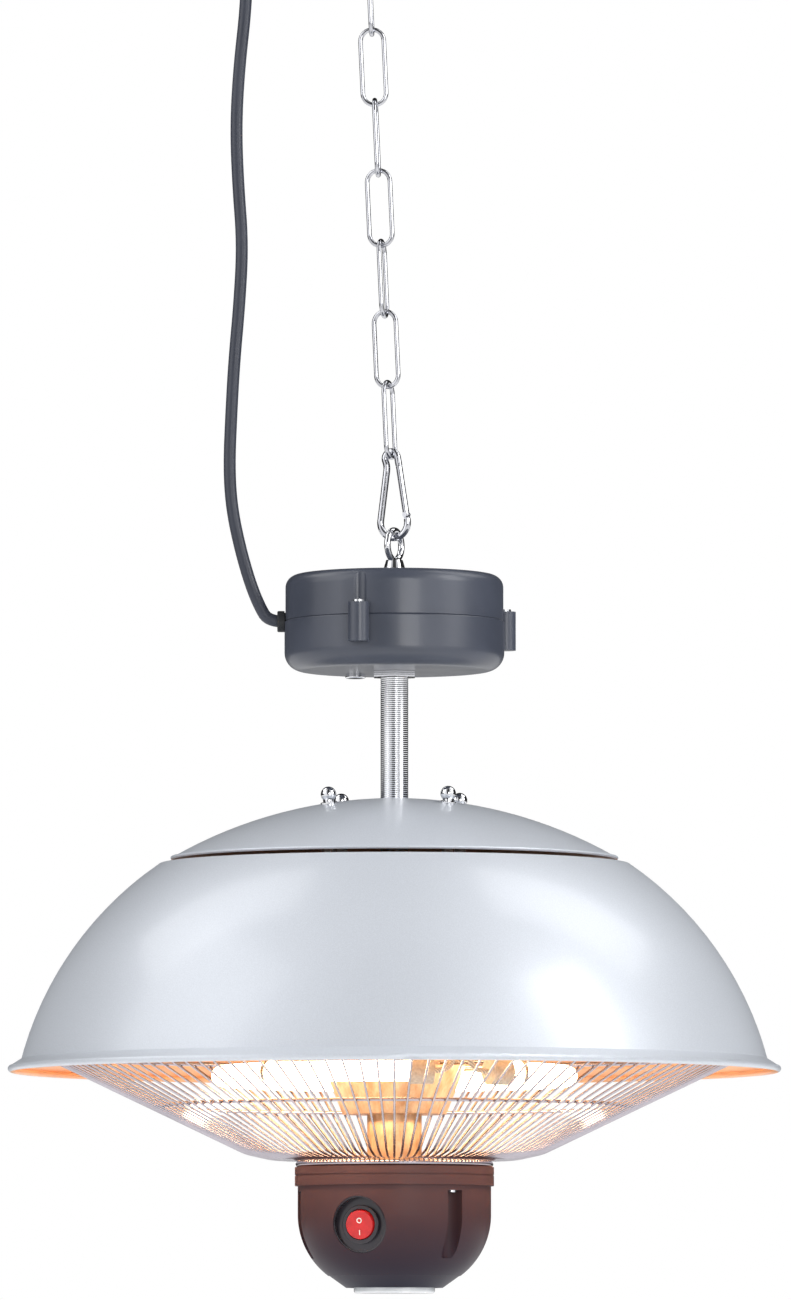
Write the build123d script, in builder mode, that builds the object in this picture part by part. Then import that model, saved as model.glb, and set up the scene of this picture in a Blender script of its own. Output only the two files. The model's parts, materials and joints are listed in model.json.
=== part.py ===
"""Hanging patio heater: a spun dome with a ring-shaped infrared tube, hung from a ceiling hook by a chain.

Millimetres, +Z up, the front is towards -Y. The origin is the centre of the ceiling plate's top face.
The chain leans a little, the heater below it hangs upright. Heights named *_h are measured from the
plane of the dome's rim, up is positive.
"""

from build123d import *
import math
import os

# Ceiling plate and hook
plate_r = 32.0
plate_thick = 4.0
plate_screw_circle_r = 23.0
plate_screw_r = 2.6
plate_screw_count = 3
hook_wire = 6.0
hook_bow_r = 9.0
hook_drop = 48.0
hook_mouth_angle = 60.0
hook_collar_r = 6.5
hook_collar_thick = 2.5

# Chain
chain_lean = 2.6
link_wire = 2.5
link_pitch = 39.25
link_width = 15.5
link_gap = 0.2
swing_gap = 0.3
link_turns = (90.0, 0.0, 87.0, -6.0, 86.0, -14.0, 76.4, -22.0, 68.3)

# Snap hook, a pear of bent wire with a straight gate
snap_wire = 3.8
snap_length = 51.6
snap_bow_r = 8.4
snap_eye_r = 3.9
snap_turn = -28.0
snap_side_tilt = 10.7
snap_neck_turn = 31.0
snap_neck_r = 10.0
snap_eye_turn = 192.0
snap_nose_length = 5.0
snap_heel_angle = 10.0
snap_pivot_rise = 2.3
snap_tongue_thick = 1.2
snap_tongue_r = 1.7
gate_wire = 3.6
gate_gap = 0.3
gate_slot_gap = 0.2
gate_slot_rise = 2.1
gate_pin_r = 0.8
gate_pin_clear = 0.06
gate_pin_head_r = 1.4
gate_pin_head_thick = 0.5
gate_pin_head_gap = 0.1

# Eye bolt
eye_wire = 3.6
eye_ring_r = 8.2
eye_height = 26.6
eye_turn = 62.0
eye_collar_r = 6.2
eye_collar_thick = 3.0
eye_neck_r = 4.6
eye_shank_r = 3.0
eye_shank_length = 11.0
eye_nut_across = 10.0
eye_nut_thick = 5.0

# Junction box
box_wall = 3.0
box_upper_r = 60.1
box_lower_r = 60.6
box_upper_height = 25.6
box_lower_height = 27.4
box_upper_round = 7.0
box_lower_round = 10.0
seam_bevel = 0.5
seal_thick = 0.8
seal_width = 1.6
boss_r = 5.8
boss_circle_r = 62.6
boss_rise = 6.3
boss_depth = 15.1
boss_azimuths = (-18.2, 101.8, 221.8)
channel_r = 4.5
box_screw_r = 1.6
box_screw_head_r = 3.2
box_screw_head_thick = 1.3
box_screw_length = 14.0
earth_screw_r = 2.4
earth_screw_head_r = 5.6
earth_screw_head_thick = 2.6
earth_screw_length = 9.0
earth_screw_place_r = 30.5
earth_screw_azimuth = 225.0

# Cable and what holds it
cable_d = 6.7
cable_fit = 0.1
bend_share = 0.45
cord_joint_gap = 0.05
gland_flange_r = 5.85
gland_flange_thick = 4.0
gland_neck_r = 4.9
gland_inner_flange_thick = 2.0
gland_face_r = 64.6
gland_inner_r = 54.3
cable_run_in = 4.0
cable_inner_length = 19.0
clamp_place_r = 47.0
clamp_width = 8.0
clamp_length = 22.0
clamp_thick = 2.4
clamp_screw_spread = 15.0
clamp_screw_r = 1.4
clamp_screw_head_r = 2.6
clamp_screw_head_thick = 1.6
clamp_screw_depth = 8.0
block_length = 27.0
block_width = 16.0
block_height = 13.0
block_place_r = 18.0
block_post_place_r = 20.5
block_post_width = 9.0
block_post_length = 20.0
block_screw_r = 1.7
block_pole_pitch = 8.5
block_wire_bore_r = 1.5
block_screw_depth = 4.0
core_r = 1.2
core_spread = 2.6
core_steps = (0.0, 3.3, 11.8, 18.5)

# Threaded tube and its nuts
tube_r = 7.7
tube_bore_r = 5.6
tube_fit = 0.1
tube_exposed = 70.45
tube_nut_across = 22.5
tube_nut_thick = 3.5
tube_end_spare = 2.0

# Cap
cap_edge_r = 123.3
cap_rise = 32.8
cap_wall = 1.2
cap_edge_bead_r = 0.75
cap_slot = 2.6
stud_circle_r = 46.6
stud_first_angle = 39.2
stud_count = 4
stud_r = 2.0
stud_fit = 0.15
ball_r = 4.25
ball_flange_r = 4.25
ball_flange_thick = 1.0
ball_neck_r = 3.0
ball_centre_rise = 5.2
ball_bore_depth = 3.0
stud_spare = 1.0
spacer_r = 3.6
stud_nut_across = 7.0
stud_nut_thick = 3.0

# Dome
dome_height = 112.7
dome_deck_r = 129.5
dome_foot_h = 5.5
dome_arc_r = 188.6
dome_wall = 1.2
rim_r = 212.5
rim_bead_r = 1.9
rim_flange = 7.5
dome_foot_r = rim_r - rim_flange

# Reflector and the parts on the tube below it
reflector_drop = 16.0
reflector_flat_r = 52.0
reflector_edge_r = 186.0
reflector_edge_h = 26.0
reflector_arc_r = 170.0
reflector_wall = 1.0
sleeve_r = 12.0
hub_low_r = 28.5
hub_high_r = 39.0
hub_low_h = -25.0
hub_wall = 1.2
column_r = 15.0

# Lamp
lamp_h = -4.0
lamp_ring_r = 95.0
lamp_tube_r = 5.5
lamp_end_r = 7.2
lamp_end_angle = 7.5
lamp_gap_from = 12.5
lamp_gap_to = 32.5
lamp_lead_r = 1.5
lead_turns = (0.0, 5.8, 8.8, 8.0)
lead_rises = (0.0, 1.2, 15.0, 45.0)
arm_r = 1.2
arm_count = 4
arm_first_angle = 45.0
arm_seat_gap = 0.05
arm_grip_angle = 130.0
arm_foot_r = 36.0

# Grille
wire_count = 120
wire_r = 0.65
wire_sides = 6
wire_end_inset = 21.5
wire_end_r = rim_r - wire_end_inset
wire_end_h = 5.9
wire_bend_r = 82.0
wire_bend_h = -46.3
wire_foot_r = 68.0
wire_foot_h = -49.4
wire_inner_r = 51.3
wire_inner_h = -49.85
weld_gap = 0.05
inner_ring_wire = 3.4
inner_ring_r = 52.6
middle_ring_wire = 2.0
middle_ring_r = 132.0
outer_ring_wire = 2.6
outer_ring_inset = 0.9
outer_ring_r = wire_end_r - outer_ring_inset
clip_count = 6
clip_width = 6.0
clip_thick = 1.0
clip_leg = 9.0
clip_gap = 0.05
clip_turn = 1.5

# Switch cup
cup_drop = 54.0
collar_r = 54.7
collar_height = 10.3
collar_plate_thick = 2.0
collar_groove_depth = 0.4
collar_groove_width = 0.6
collar_groove_drop = 4.2
cup_wall = 2.5
cup_top_r = 53.1
cup_straight = 17.0
cup_low_r = 36.3
cup_low_h = -113.6
cup_arc_r = 42.0
cup_screw_azimuths = (38.8, 158.8, 278.8)
cup_screw_circle_r = 49.0
cup_channel_width = 10.0
cup_channel_top = 3.0
cup_channel_length = 37.0
cup_channel_wall = 1.6
cup_screw_boss_r = 5.2
cup_screw_r = 1.6
cup_screw_head_r = 3.6
cup_screw_head_thick = 1.2
cup_screw_length = 9.0
bottom_ring_low_r = 26.6
bottom_ring_low_h = -120.1
bottom_ring_lip_r = 24.6
bottom_ring_shy = 0.6
lens_r = 22.3
lens_drop = 3.0
lens_thick = 1.5
lens_round = 1.2
lens_flange_r = 26.4
lens_ledge_r = 27.0
lens_ledge_rise = 1.6
board_r = 23.5
board_thick = 1.6

# Round rocker switch in its recess
switch_azimuth = -22.2
switch_h = -86.1
recess_r = 14.7
recess_floor = 46.6
recess_wall = 2.0
bezel_r = 10.6
bezel_inner_r = 8.6
bezel_height = 2.6
bezel_round = 0.5
switch_body_r = 9.2
switch_body_depth = 15.0
switch_cavity_r = 8.4
switch_cavity_depth = 5.2
switch_fit = 0.1
pocket_wall = 0.8
pocket_fit = 0.1
pocket_shy = 0.3
rocker_r = 8.25
rocker_back = 2.5
rocker_front = 3.0
rocker_tilt = 6.0
rocker_pin_length = 18.6
rocker_pin_hole_length = 19.0
rocker_pin_r = 1.0
rocker_pin_clear = 0.06
recess_rib_count = 48
recess_rib_r = 0.35

# Way of the free cable: places from the gland up, x from the heater's axis, y and height above the rim
cable_route = (
    (-69.3, 0.0, 246.7),
    (-74.2, 0.0, 254.6),
    (-79.6, 0.3, 268.0),
    (-85.2, 0.7, 287.5),
    (-89.8, 1.2, 309.5),
    (-91.3, 1.8, 332.0),
    (-90.2, 2.7, 361.0),
    (-88.6, 3.8, 391.0),
    (-85.7, 5.2, 424.0),
    (-84.0, 6.8, 457.0),
    (-86.6, 8.5, 490.0),
    (-87.9, 10.2, 522.5),
    (-86.2, 12.0, 555.5),
    (-82.4, 13.6, 590.0),
    (-82.0, 14.5, 615.0),
    (-83.5, 14.9, 630.0),
)

# The spare cable, a coil in two layers above the photographed stretch
coil_outer_r = 46.0
coil_half_turns_in = 5
coil_climb_r = 28.0
coil_turn_gap = 0.5
coil_sample_pitch = 2.0
coil_centre_x = -19.9
coil_centre_y = 18.5
coil_centre_h = 650.0
tail_bend_r = 33.0
strap_width = 9.0
strap_thick = 1.4
strap_gap = 0.6
strap_h = 634.0

# Plug
plug_r = 18.5
plug_body_length = 28.0
plug_neck_r = 7.0
plug_x = 52.0
relief_length = 20.0
relief_top_r = 3.9
relief_r = 5.5
plug_shoulder_share = 0.6
plug_round = 2.0
plug_pin_r = 2.4
plug_pin_length = 19.0
plug_pin_spread = 19.0

overrun = 5.0

os.makedirs("parts", exist_ok=True)


def save(piece, name):
    """Label the finished piece and write it under its node's name."""
    piece.label = name
    export_step(piece, f"parts/{name}.step")


# The leaning line of the chain: s is the distance down it from the hook's wire centre
hook_low_z = -plate_thick - hook_drop
lean_down = Vector(0, 0, -1).rotate(Axis.Y, -chain_lean)
lean_side = Vector(1, 0, 0).rotate(Axis.Y, -chain_lean)
hook_low = Vector(0, 0, hook_low_z)


def chain_plane(s, turn):
    """Upright plane on the chain's line, its x turned from the front by this angle."""
    across = lean_side * math.cos(math.radians(turn)) + Vector(0, 1, 0) * math.sin(math.radians(turn))
    return Plane(origin=hook_low + lean_down * s, x_dir=across, z_dir=across.cross(-lean_down))


link_crown_r = (link_width - link_wire) / 2
link_reach = (link_pitch + link_wire + link_gap) / 2
top_link_s = link_reach - (hook_wire + link_wire) / 2 - swing_gap
second_link_s = top_link_s + 2 * link_reach - link_wire - swing_gap
last_link_s = second_link_s + (len(link_turns) - 2) * link_pitch
snap_eye_s = last_link_s + link_reach - (snap_wire + link_wire) / 2 - link_gap
snap_low_s = snap_eye_s + snap_length - snap_wire
eye_crown_s = snap_low_s - (snap_wire + eye_wire) / 2 - swing_gap
eye_crown = hook_low + lean_down * eye_crown_s

# Heights above the rim, from the cap up to the eye
cap_edge_h = dome_height + cap_slot + cap_edge_bead_r
cap_top_h = cap_edge_h + cap_rise
box_low_h = cap_top_h + tube_exposed
box_seam_h = box_low_h + box_lower_height
box_top_h = box_seam_h + box_upper_height
eye_top_h = box_top_h + eye_height
eye_crown_h = eye_top_h - eye_wire / 2

axis_x = eye_crown.X
rim_z = eye_crown.Z - eye_crown_h
profile = Plane(origin=(axis_x, 0, rim_z), x_dir=(1, 0, 0), z_dir=(0, -1, 0))
heater_axis = Axis((axis_x, 0, rim_z), (0, 0, 1))


def level(height):
    """Horizontal plane on the heater's axis at a height above the rim."""
    return Plane(origin=(axis_x, 0, rim_z + height))


def spot(azimuth, radius, height):
    """Place around the heater's axis, the azimuth counted from the front towards +X."""
    turn = math.radians(azimuth)
    return Vector(axis_x + radius * math.sin(turn), -radius * math.cos(turn), rim_z + height)


def facing(azimuth, radius, height):
    """Plane looking outwards from the heater's axis, its y axis up."""
    turn = math.radians(azimuth)
    outward = Vector(math.sin(turn), -math.cos(turn), 0)
    return Plane(origin=spot(azimuth, radius, height), x_dir=Vector(0, 0, 1).cross(outward), z_dir=outward)


def radial(azimuth):
    """Upright plane through the heater's axis, x outwards and y up from the rim's plane."""
    turn = math.radians(azimuth)
    outward = Vector(math.sin(turn), -math.cos(turn), 0)
    return Plane(origin=(axis_x, 0, rim_z), x_dir=outward, z_dir=outward.cross(Vector(0, 0, 1)))


def arc_centre(start, end, radius):
    """Centre of the bulging arc of this radius between two points of an outline, the higher one first."""
    chord = Vector(*end) - Vector(*start)
    rise = math.sqrt(radius**2 - (chord.length / 2) ** 2)
    return (Vector(*start) + Vector(*end)) / 2 + chord.rotate(Axis.Z, -90).normalized() * rise


def on_arc(centre, radius, height):
    """Point of the arc's outer side at this height."""
    return (centre.X + math.sqrt(radius**2 - (height - centre.Y) ** 2), height)


def arc_line(centre, radius, first_h, last_h):
    """The arc's stretch between two heights, drawn in the line being built."""
    return ThreePointArc(
        on_arc(centre, radius, first_h),
        on_arc(centre, radius, (first_h + last_h) / 2),
        on_arc(centre, radius, last_h),
    )


def cord_line(points):
    """A cord's way through these points, with an arc at each inner one, drawn in the line being built."""
    bends = []
    for before, here, after in zip(points, points[1:], points[2:]):
        turn = (here - before).get_angle(after - here)
        run = min((here - before).length, (after - here).length)
        bends.append(bend_share * run / math.tan(math.radians(turn / 2)))
    print("bends", [round(bend, 1) for bend in bends])
    return FilletPolyline(*points, radius=bends)


# Ceiling plate
with BuildPart(Plane.XY) as ceiling_plate:
    Cylinder(plate_r, plate_thick, align=(Align.CENTER, Align.CENTER, Align.MAX))
    with Locations((0, 0, -plate_thick)):
        with PolarLocations(plate_screw_circle_r, plate_screw_count, start_angle=90):
            Cylinder(plate_screw_r, 3 * plate_thick, mode=Mode.SUBTRACT)
    Cylinder(hook_wire / 2, 3 * plate_thick, mode=Mode.SUBTRACT)
    fillet(ceiling_plate.faces().sort_by(Axis.Z)[0].edges().sort_by(SortBy.LENGTH)[-1], plate_thick / 3)
save(ceiling_plate.part, "ceiling_plate")

# Ceiling hook: shank, sideways bend and open bow, with a collar under the plate
hook_centre_z = hook_low_z + hook_bow_r
with BuildPart() as ceiling_hook:
    with BuildLine(Plane.XZ) as hook_path:
        shank = Line((0, 0), (0, hook_centre_z + 2 * hook_bow_r + hook_wire))
        sideways = Line(shank @ 1, (hook_bow_r, hook_centre_z + hook_bow_r + hook_wire))
        Line(sideways @ 1, (hook_bow_r, hook_centre_z))
        CenterArc((0, hook_centre_z), hook_bow_r, 0, -180 - hook_mouth_angle)
    with BuildSketch(Plane.XY):
        Circle(hook_wire / 2)
    sweep(path=hook_path.wires()[0], transition=Transition.ROUND)
    with Locations((0, 0, -plate_thick)):
        Cylinder(hook_collar_r, hook_collar_thick, align=(Align.CENTER, Align.CENTER, Align.MAX))
save(ceiling_hook.part, "ceiling_hook")


def chain_link(place):
    """One link: round wire bent to a long ring, standing in the given plane."""
    straight = link_reach - link_crown_r
    with BuildPart() as link:
        with BuildLine(place) as path:
            left = Line((-link_crown_r, -straight), (-link_crown_r, straight))
            crown = TangentArc(left @ 1, (link_crown_r, straight), tangent=left % 1)
            right = Line(crown @ 1, (link_crown_r, -straight))
            TangentArc(right @ 1, left @ 0, tangent=right % 1)
        with BuildSketch(Plane(origin=left @ 0, z_dir=left % 0)):
            Circle(link_wire / 2)
        sweep(path=path.wires()[0])
    return link.part


save(chain_link(chain_plane(top_link_s, link_turns[0])), "top_link")

with BuildPart() as chain_links:
    for place, turn in enumerate(link_turns[1:]):
        add(chain_link(chain_plane(second_link_s + place * link_pitch, turn)))
save(chain_links.part, "chain_links")


# Snap hook: bow at the foot, a straight back, a small eye at the top and the nose that the gate meets
snap_plane = chain_plane(snap_low_s, snap_turn)
snap_tilt = math.radians(snap_side_tilt)
snap_heading = math.radians(90 - snap_side_tilt)
neck_heading = math.radians(90 - snap_side_tilt + snap_neck_turn)
neck_rise = snap_neck_r * (math.cos(snap_heading) - math.cos(neck_heading))
eye_rise = snap_eye_r * (1 - math.cos(neck_heading))
back_low = (-snap_bow_r * math.cos(snap_tilt), snap_bow_r * (1 + math.sin(snap_tilt)))
back_rise = snap_length - snap_wire - neck_rise - eye_rise - back_low[1]
with BuildPart() as snap_hook:
    with BuildLine(snap_plane) as snap_path:
        snap_bow = CenterArc(
            (0, snap_bow_r), snap_bow_r, snap_heel_angle, -180 - snap_side_tilt - snap_heel_angle
        )
        snap_back = Line(back_low, (back_low[0] + back_rise * math.tan(snap_tilt), back_low[1] + back_rise))
        snap_neck = JernArc(snap_back @ 1, snap_back % 1, snap_neck_r, snap_neck_turn)
        snap_eye = JernArc(snap_neck @ 1, snap_neck % 1, snap_eye_r, -snap_eye_turn)
        snap_nose = Line(snap_eye @ 1, snap_eye @ 1 + (snap_eye % 1) * snap_nose_length)
    with BuildSketch(Plane(origin=snap_bow @ 0, z_dir=snap_bow % 0)):
        Circle(snap_wire / 2)
    sweep(path=snap_path.wires()[0])
    pivot = snap_bow @ 0 - (snap_bow % 0) * snap_pivot_rise
    tongue_plane = Plane(origin=pivot, x_dir=snap_bow % 0, z_dir=snap_plane.z_dir)
    with BuildSketch(tongue_plane):
        Circle(snap_tongue_r)
        Rectangle(snap_pivot_rise + snap_wire / 2, 2 * snap_tongue_r, align=(Align.MIN, Align.CENTER))
    extrude(amount=snap_tongue_thick / 2, both=True)
    with BuildSketch(tongue_plane):
        Circle(gate_pin_r)
    extrude(amount=snap_wire, both=True, mode=Mode.SUBTRACT)
save(snap_hook.part, "snap_hook")

# Gate: a straight bar, forked over the tongue, that ends short of the nose
gate_reach = snap_nose @ 1 - pivot
gate_plane = Plane(origin=pivot, x_dir=snap_plane.z_dir, z_dir=gate_reach)
with BuildPart() as snap_hook_gate:
    with Locations(gate_plane):
        Sphere(gate_wire / 2)
        Cylinder(gate_wire / 2, gate_reach.length - gate_gap, align=(Align.CENTER, Align.CENTER, Align.MIN))
    with Locations(gate_plane.offset(gate_slot_rise)):
        Box(
            snap_tongue_thick + 2 * gate_slot_gap,
            2 * gate_wire,
            gate_slot_rise + gate_wire,
            align=(Align.CENTER, Align.CENTER, Align.MAX),
            mode=Mode.SUBTRACT,
        )
    with Locations(tongue_plane):
        Cylinder(gate_pin_r + gate_pin_clear, 2 * gate_wire, mode=Mode.SUBTRACT)
save(snap_hook_gate.part, "snap_hook_gate")

with BuildPart() as gate_pin:
    with Locations(tongue_plane):
        Cylinder(gate_pin_r, gate_wire + 2 * (gate_pin_head_gap + gate_pin_head_thick))
    head_place = gate_wire / 2 + gate_pin_head_gap
    head_planes = [tongue_plane.offset(head_place), tongue_plane.offset(-head_place - gate_pin_head_thick)]
    with BuildSketch(*head_planes):
        Circle(gate_pin_head_r)
    extrude(amount=gate_pin_head_thick)
save(gate_pin.part, "gate_pin")

# Eye bolt: ring, conical neck and collar in one piece, its shank inside the box
eye_across = Vector(math.cos(math.radians(eye_turn)), math.sin(math.radians(eye_turn)), 0)
eye_centre = eye_crown - Vector(0, 0, eye_ring_r)
eye_neck_rise = eye_height - 2 * eye_ring_r - eye_wire / 2 - eye_collar_thick
with BuildPart() as eye_bolt:
    with Locations(Plane(origin=eye_centre, x_dir=eye_across, z_dir=eye_across.cross(Vector(0, 0, 1)))):
        Torus(eye_ring_r, eye_wire / 2)
    with Locations(level(box_top_h)):
        Cylinder(eye_collar_r, eye_collar_thick, align=(Align.CENTER, Align.CENTER, Align.MIN))
        Cylinder(eye_shank_r, eye_shank_length, align=(Align.CENTER, Align.CENTER, Align.MAX))
    with Locations(level(box_top_h + eye_collar_thick)):
        Cone(eye_collar_r, eye_neck_r, eye_neck_rise, align=(Align.CENTER, Align.CENTER, Align.MIN))
save(eye_bolt.part, "eye_bolt")

with BuildPart() as eye_nut:
    with BuildSketch(level(box_top_h - box_wall)):
        RegularPolygon(eye_nut_across / 2, 6, major_radius=False)
        Circle(eye_shank_r + tube_fit, mode=Mode.SUBTRACT)
    extrude(amount=-eye_nut_thick)
save(eye_nut.part, "eye_nut")

# Junction box: two shells that meet at the seam, with screw bosses on three sides
boss_spots = [spot(azimuth, boss_circle_r, box_seam_h) for azimuth in boss_azimuths]
gland_side = facing(-90, 0, box_seam_h)
with BuildPart() as box_upper_shell:
    with BuildSketch(level(box_seam_h)):
        Circle(box_upper_r)
    extrude(amount=box_upper_height)
    fillet(box_upper_shell.faces().sort_by(Axis.Z)[-1].edges(), box_upper_round)
    chamfer(box_upper_shell.faces().sort_by(Axis.Z)[0].edges(), seam_bevel)
    with Locations(*boss_spots):
        Cylinder(boss_r, boss_rise, align=(Align.CENTER, Align.CENTER, Align.MIN))
    with Locations(*[place + Vector(0, 0, boss_rise) for place in boss_spots]):
        Cylinder(
            channel_r, box_upper_height, align=(Align.CENTER, Align.CENTER, Align.MIN), mode=Mode.SUBTRACT
        )
    with Locations(level(box_seam_h)):
        Cylinder(
            box_upper_r - box_wall,
            box_upper_height - box_wall,
            align=(Align.CENTER, Align.CENTER, Align.MIN),
            mode=Mode.SUBTRACT,
        )
        Cylinder(eye_shank_r + tube_fit, 2 * box_upper_height, align=(Align.CENTER, Align.CENTER, Align.MIN),
                 mode=Mode.SUBTRACT)
    with Locations(*boss_spots):
        Cylinder(box_screw_r + stud_fit, 2 * boss_rise, mode=Mode.SUBTRACT)
    with BuildSketch(gland_side):
        Circle(gland_neck_r + cable_fit)
    extrude(amount=box_lower_r + overrun, mode=Mode.SUBTRACT)
save(box_upper_shell.part, "box_upper_shell")

seal_inner_r = box_upper_r - box_wall / 2 - seal_width / 2
with BuildPart() as box_lower_shell:
    with BuildSketch(level(box_low_h)):
        Circle(box_lower_r)
    extrude(amount=box_lower_height)
    fillet(box_lower_shell.faces().sort_by(Axis.Z)[0].edges(), box_lower_round)
    chamfer(box_lower_shell.faces().sort_by(Axis.Z)[-1].edges(), seam_bevel)
    with Locations(*boss_spots):
        Cylinder(boss_r, boss_depth, align=(Align.CENTER, Align.CENTER, Align.MAX))
    with Locations(level(box_seam_h)):
        Cylinder(
            box_lower_r - box_wall,
            box_lower_height - box_wall,
            align=(Align.CENTER, Align.CENTER, Align.MAX),
            mode=Mode.SUBTRACT,
        )
    with BuildSketch(level(box_seam_h)):
        Circle(seal_inner_r + seal_width)
        Circle(seal_inner_r, mode=Mode.SUBTRACT)
    extrude(amount=-seal_thick, mode=Mode.SUBTRACT)
    with Locations(spot(-90, clamp_place_r, box_low_h + box_wall)):
        Box(
            clamp_width,
            clamp_length,
            box_lower_height - box_wall,
            align=(Align.CENTER, Align.CENTER, Align.MIN),
        )
    with Locations(spot(-90, block_post_place_r, box_low_h + box_wall)):
        Box(
            block_post_width,
            block_post_length,
            box_lower_height - box_wall - block_height / 2,
            align=(Align.CENTER, Align.CENTER, Align.MIN),
        )
    with Locations(level(box_low_h)):
        Cylinder(tube_r + tube_fit, 3 * box_wall, mode=Mode.SUBTRACT)
    with Locations(spot(earth_screw_azimuth, earth_screw_place_r, box_low_h)):
        Cylinder(earth_screw_r + stud_fit, 3 * box_wall, mode=Mode.SUBTRACT)
    with Locations(*boss_spots):
        Cylinder(box_screw_r + stud_fit, 2 * (box_screw_length - boss_rise) + overrun, mode=Mode.SUBTRACT)
    clamp_spots = [spot(-90, clamp_place_r, box_seam_h) + Vector(0, side, 0)
                   for side in (-clamp_screw_spread / 2, clamp_screw_spread / 2)]
    with Locations(*clamp_spots):
        Cylinder(clamp_screw_r + stud_fit, 3 * clamp_screw_depth, mode=Mode.SUBTRACT)
    with BuildSketch(gland_side):
        Circle(cable_d / 2 + cable_fit)
    extrude(amount=gland_inner_r, mode=Mode.SUBTRACT)
    with BuildSketch(gland_side.offset(gland_inner_r)):
        Circle(gland_neck_r + cable_fit)
    extrude(amount=box_lower_r, mode=Mode.SUBTRACT)
save(box_lower_shell.part, "box_lower_shell")

with BuildPart() as box_seal:
    with BuildSketch(level(box_seam_h)):
        Circle(seal_inner_r + seal_width)
        Circle(seal_inner_r, mode=Mode.SUBTRACT)
    extrude(amount=-seal_thick)
    with BuildSketch(gland_side):
        Circle(gland_neck_r + cable_fit)
    extrude(amount=box_lower_r + overrun, mode=Mode.SUBTRACT)
save(box_seal.part, "box_seal")

with BuildPart() as box_screws:
    with Locations(*[place + Vector(0, 0, boss_rise) for place in boss_spots]):
        Cylinder(box_screw_r, box_screw_length, align=(Align.CENTER, Align.CENTER, Align.MAX))
        Cylinder(box_screw_head_r, box_screw_head_thick, align=(Align.CENTER, Align.CENTER, Align.MIN))
save(box_screws.part, "box_screws")

with BuildPart() as earth_screw:
    with Locations(spot(earth_screw_azimuth, earth_screw_place_r, box_low_h)):
        Cylinder(earth_screw_r, earth_screw_length, align=(Align.CENTER, Align.CENTER, Align.MIN))
        Cylinder(earth_screw_head_r, earth_screw_head_thick, align=(Align.CENTER, Align.CENTER, Align.MAX))
    fillet(earth_screw.faces().sort_by(Axis.Z)[0].edges(), earth_screw_head_thick / 3)
save(earth_screw.part, "earth_screw")

# Cable entry: gland in the seam, clamp, terminal block and the three cores
with BuildPart() as cable_gland:
    with BuildSketch(gland_side.offset(gland_inner_r)):
        Circle(gland_neck_r)
    extrude(amount=gland_face_r - gland_inner_r)
    with BuildSketch(gland_side.offset(gland_face_r)):
        Circle(gland_flange_r)
    extrude(amount=-gland_flange_thick)
    with BuildSketch(gland_side.offset(gland_inner_r)):
        Circle(gland_flange_r)
    extrude(amount=gland_inner_flange_thick)
    fillet(cable_gland.faces().sort_by(Axis.X)[0].edges().sort_by(SortBy.LENGTH)[-1], cable_run_in / 5)
    with BuildSketch(gland_side):
        Circle(cable_d / 2 + cable_fit)
    extrude(amount=2 * gland_face_r, mode=Mode.SUBTRACT)
save(cable_gland.part, "cable_gland")

inner_start_r = gland_face_r - cable_run_in
with BuildPart() as cable_inner_end:
    with BuildSketch(gland_side.offset(inner_start_r)):
        Circle(cable_d / 2)
    extrude(amount=-cable_inner_length)
save(cable_inner_end.part, "cable_inner_end")

with BuildPart() as cable_clamp:
    with Locations(spot(-90, clamp_place_r, box_seam_h)):
        Box(
            clamp_width,
            clamp_length,
            cable_d / 2 + clamp_thick,
            align=(Align.CENTER, Align.CENTER, Align.MIN),
        )
    fillet(cable_clamp.edges().filter_by(Axis.Z), clamp_width / 4)
    with Locations(*clamp_spots):
        Cylinder(clamp_screw_r + stud_fit, 3 * clamp_screw_depth, mode=Mode.SUBTRACT)
    with BuildSketch(gland_side):
        Circle(cable_d / 2 + cable_fit)
    extrude(amount=gland_inner_r, mode=Mode.SUBTRACT)
save(cable_clamp.part, "cable_clamp")

clamp_top = Vector(0, 0, cable_d / 2 + clamp_thick)
with BuildPart() as clamp_screws:
    with Locations(*[place + clamp_top for place in clamp_spots]):
        Cylinder(
            clamp_screw_r, clamp_top.Z + clamp_screw_depth, align=(Align.CENTER, Align.CENTER, Align.MAX)
        )
        Cylinder(clamp_screw_head_r, clamp_screw_head_thick, align=(Align.CENTER, Align.CENTER, Align.MIN))
save(clamp_screws.part, "clamp_screws")

pole_sides = (-block_pole_pitch, 0, block_pole_pitch)
block_poles = [spot(-90, block_place_r, box_seam_h) + Vector(0, side, 0) for side in pole_sides]
with BuildPart() as terminal_block:
    with Locations(spot(-90, block_place_r, box_seam_h)):
        Box(block_width, block_length, block_height)
    fillet(terminal_block.edges().filter_by(Axis.Z), block_screw_r)
    with Locations(*[place + Vector(0, 0, block_height / 2) for place in block_poles]):
        Cylinder(
            block_screw_r,
            block_screw_depth,
            align=(Align.CENTER, Align.CENTER, Align.MAX),
            mode=Mode.SUBTRACT,
        )
    for place in block_poles:
        with Locations(Plane(origin=place, z_dir=(1, 0, 0))):
            Cylinder(block_wire_bore_r, 2 * block_width, mode=Mode.SUBTRACT)
save(terminal_block.part, "terminal_block")

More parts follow.
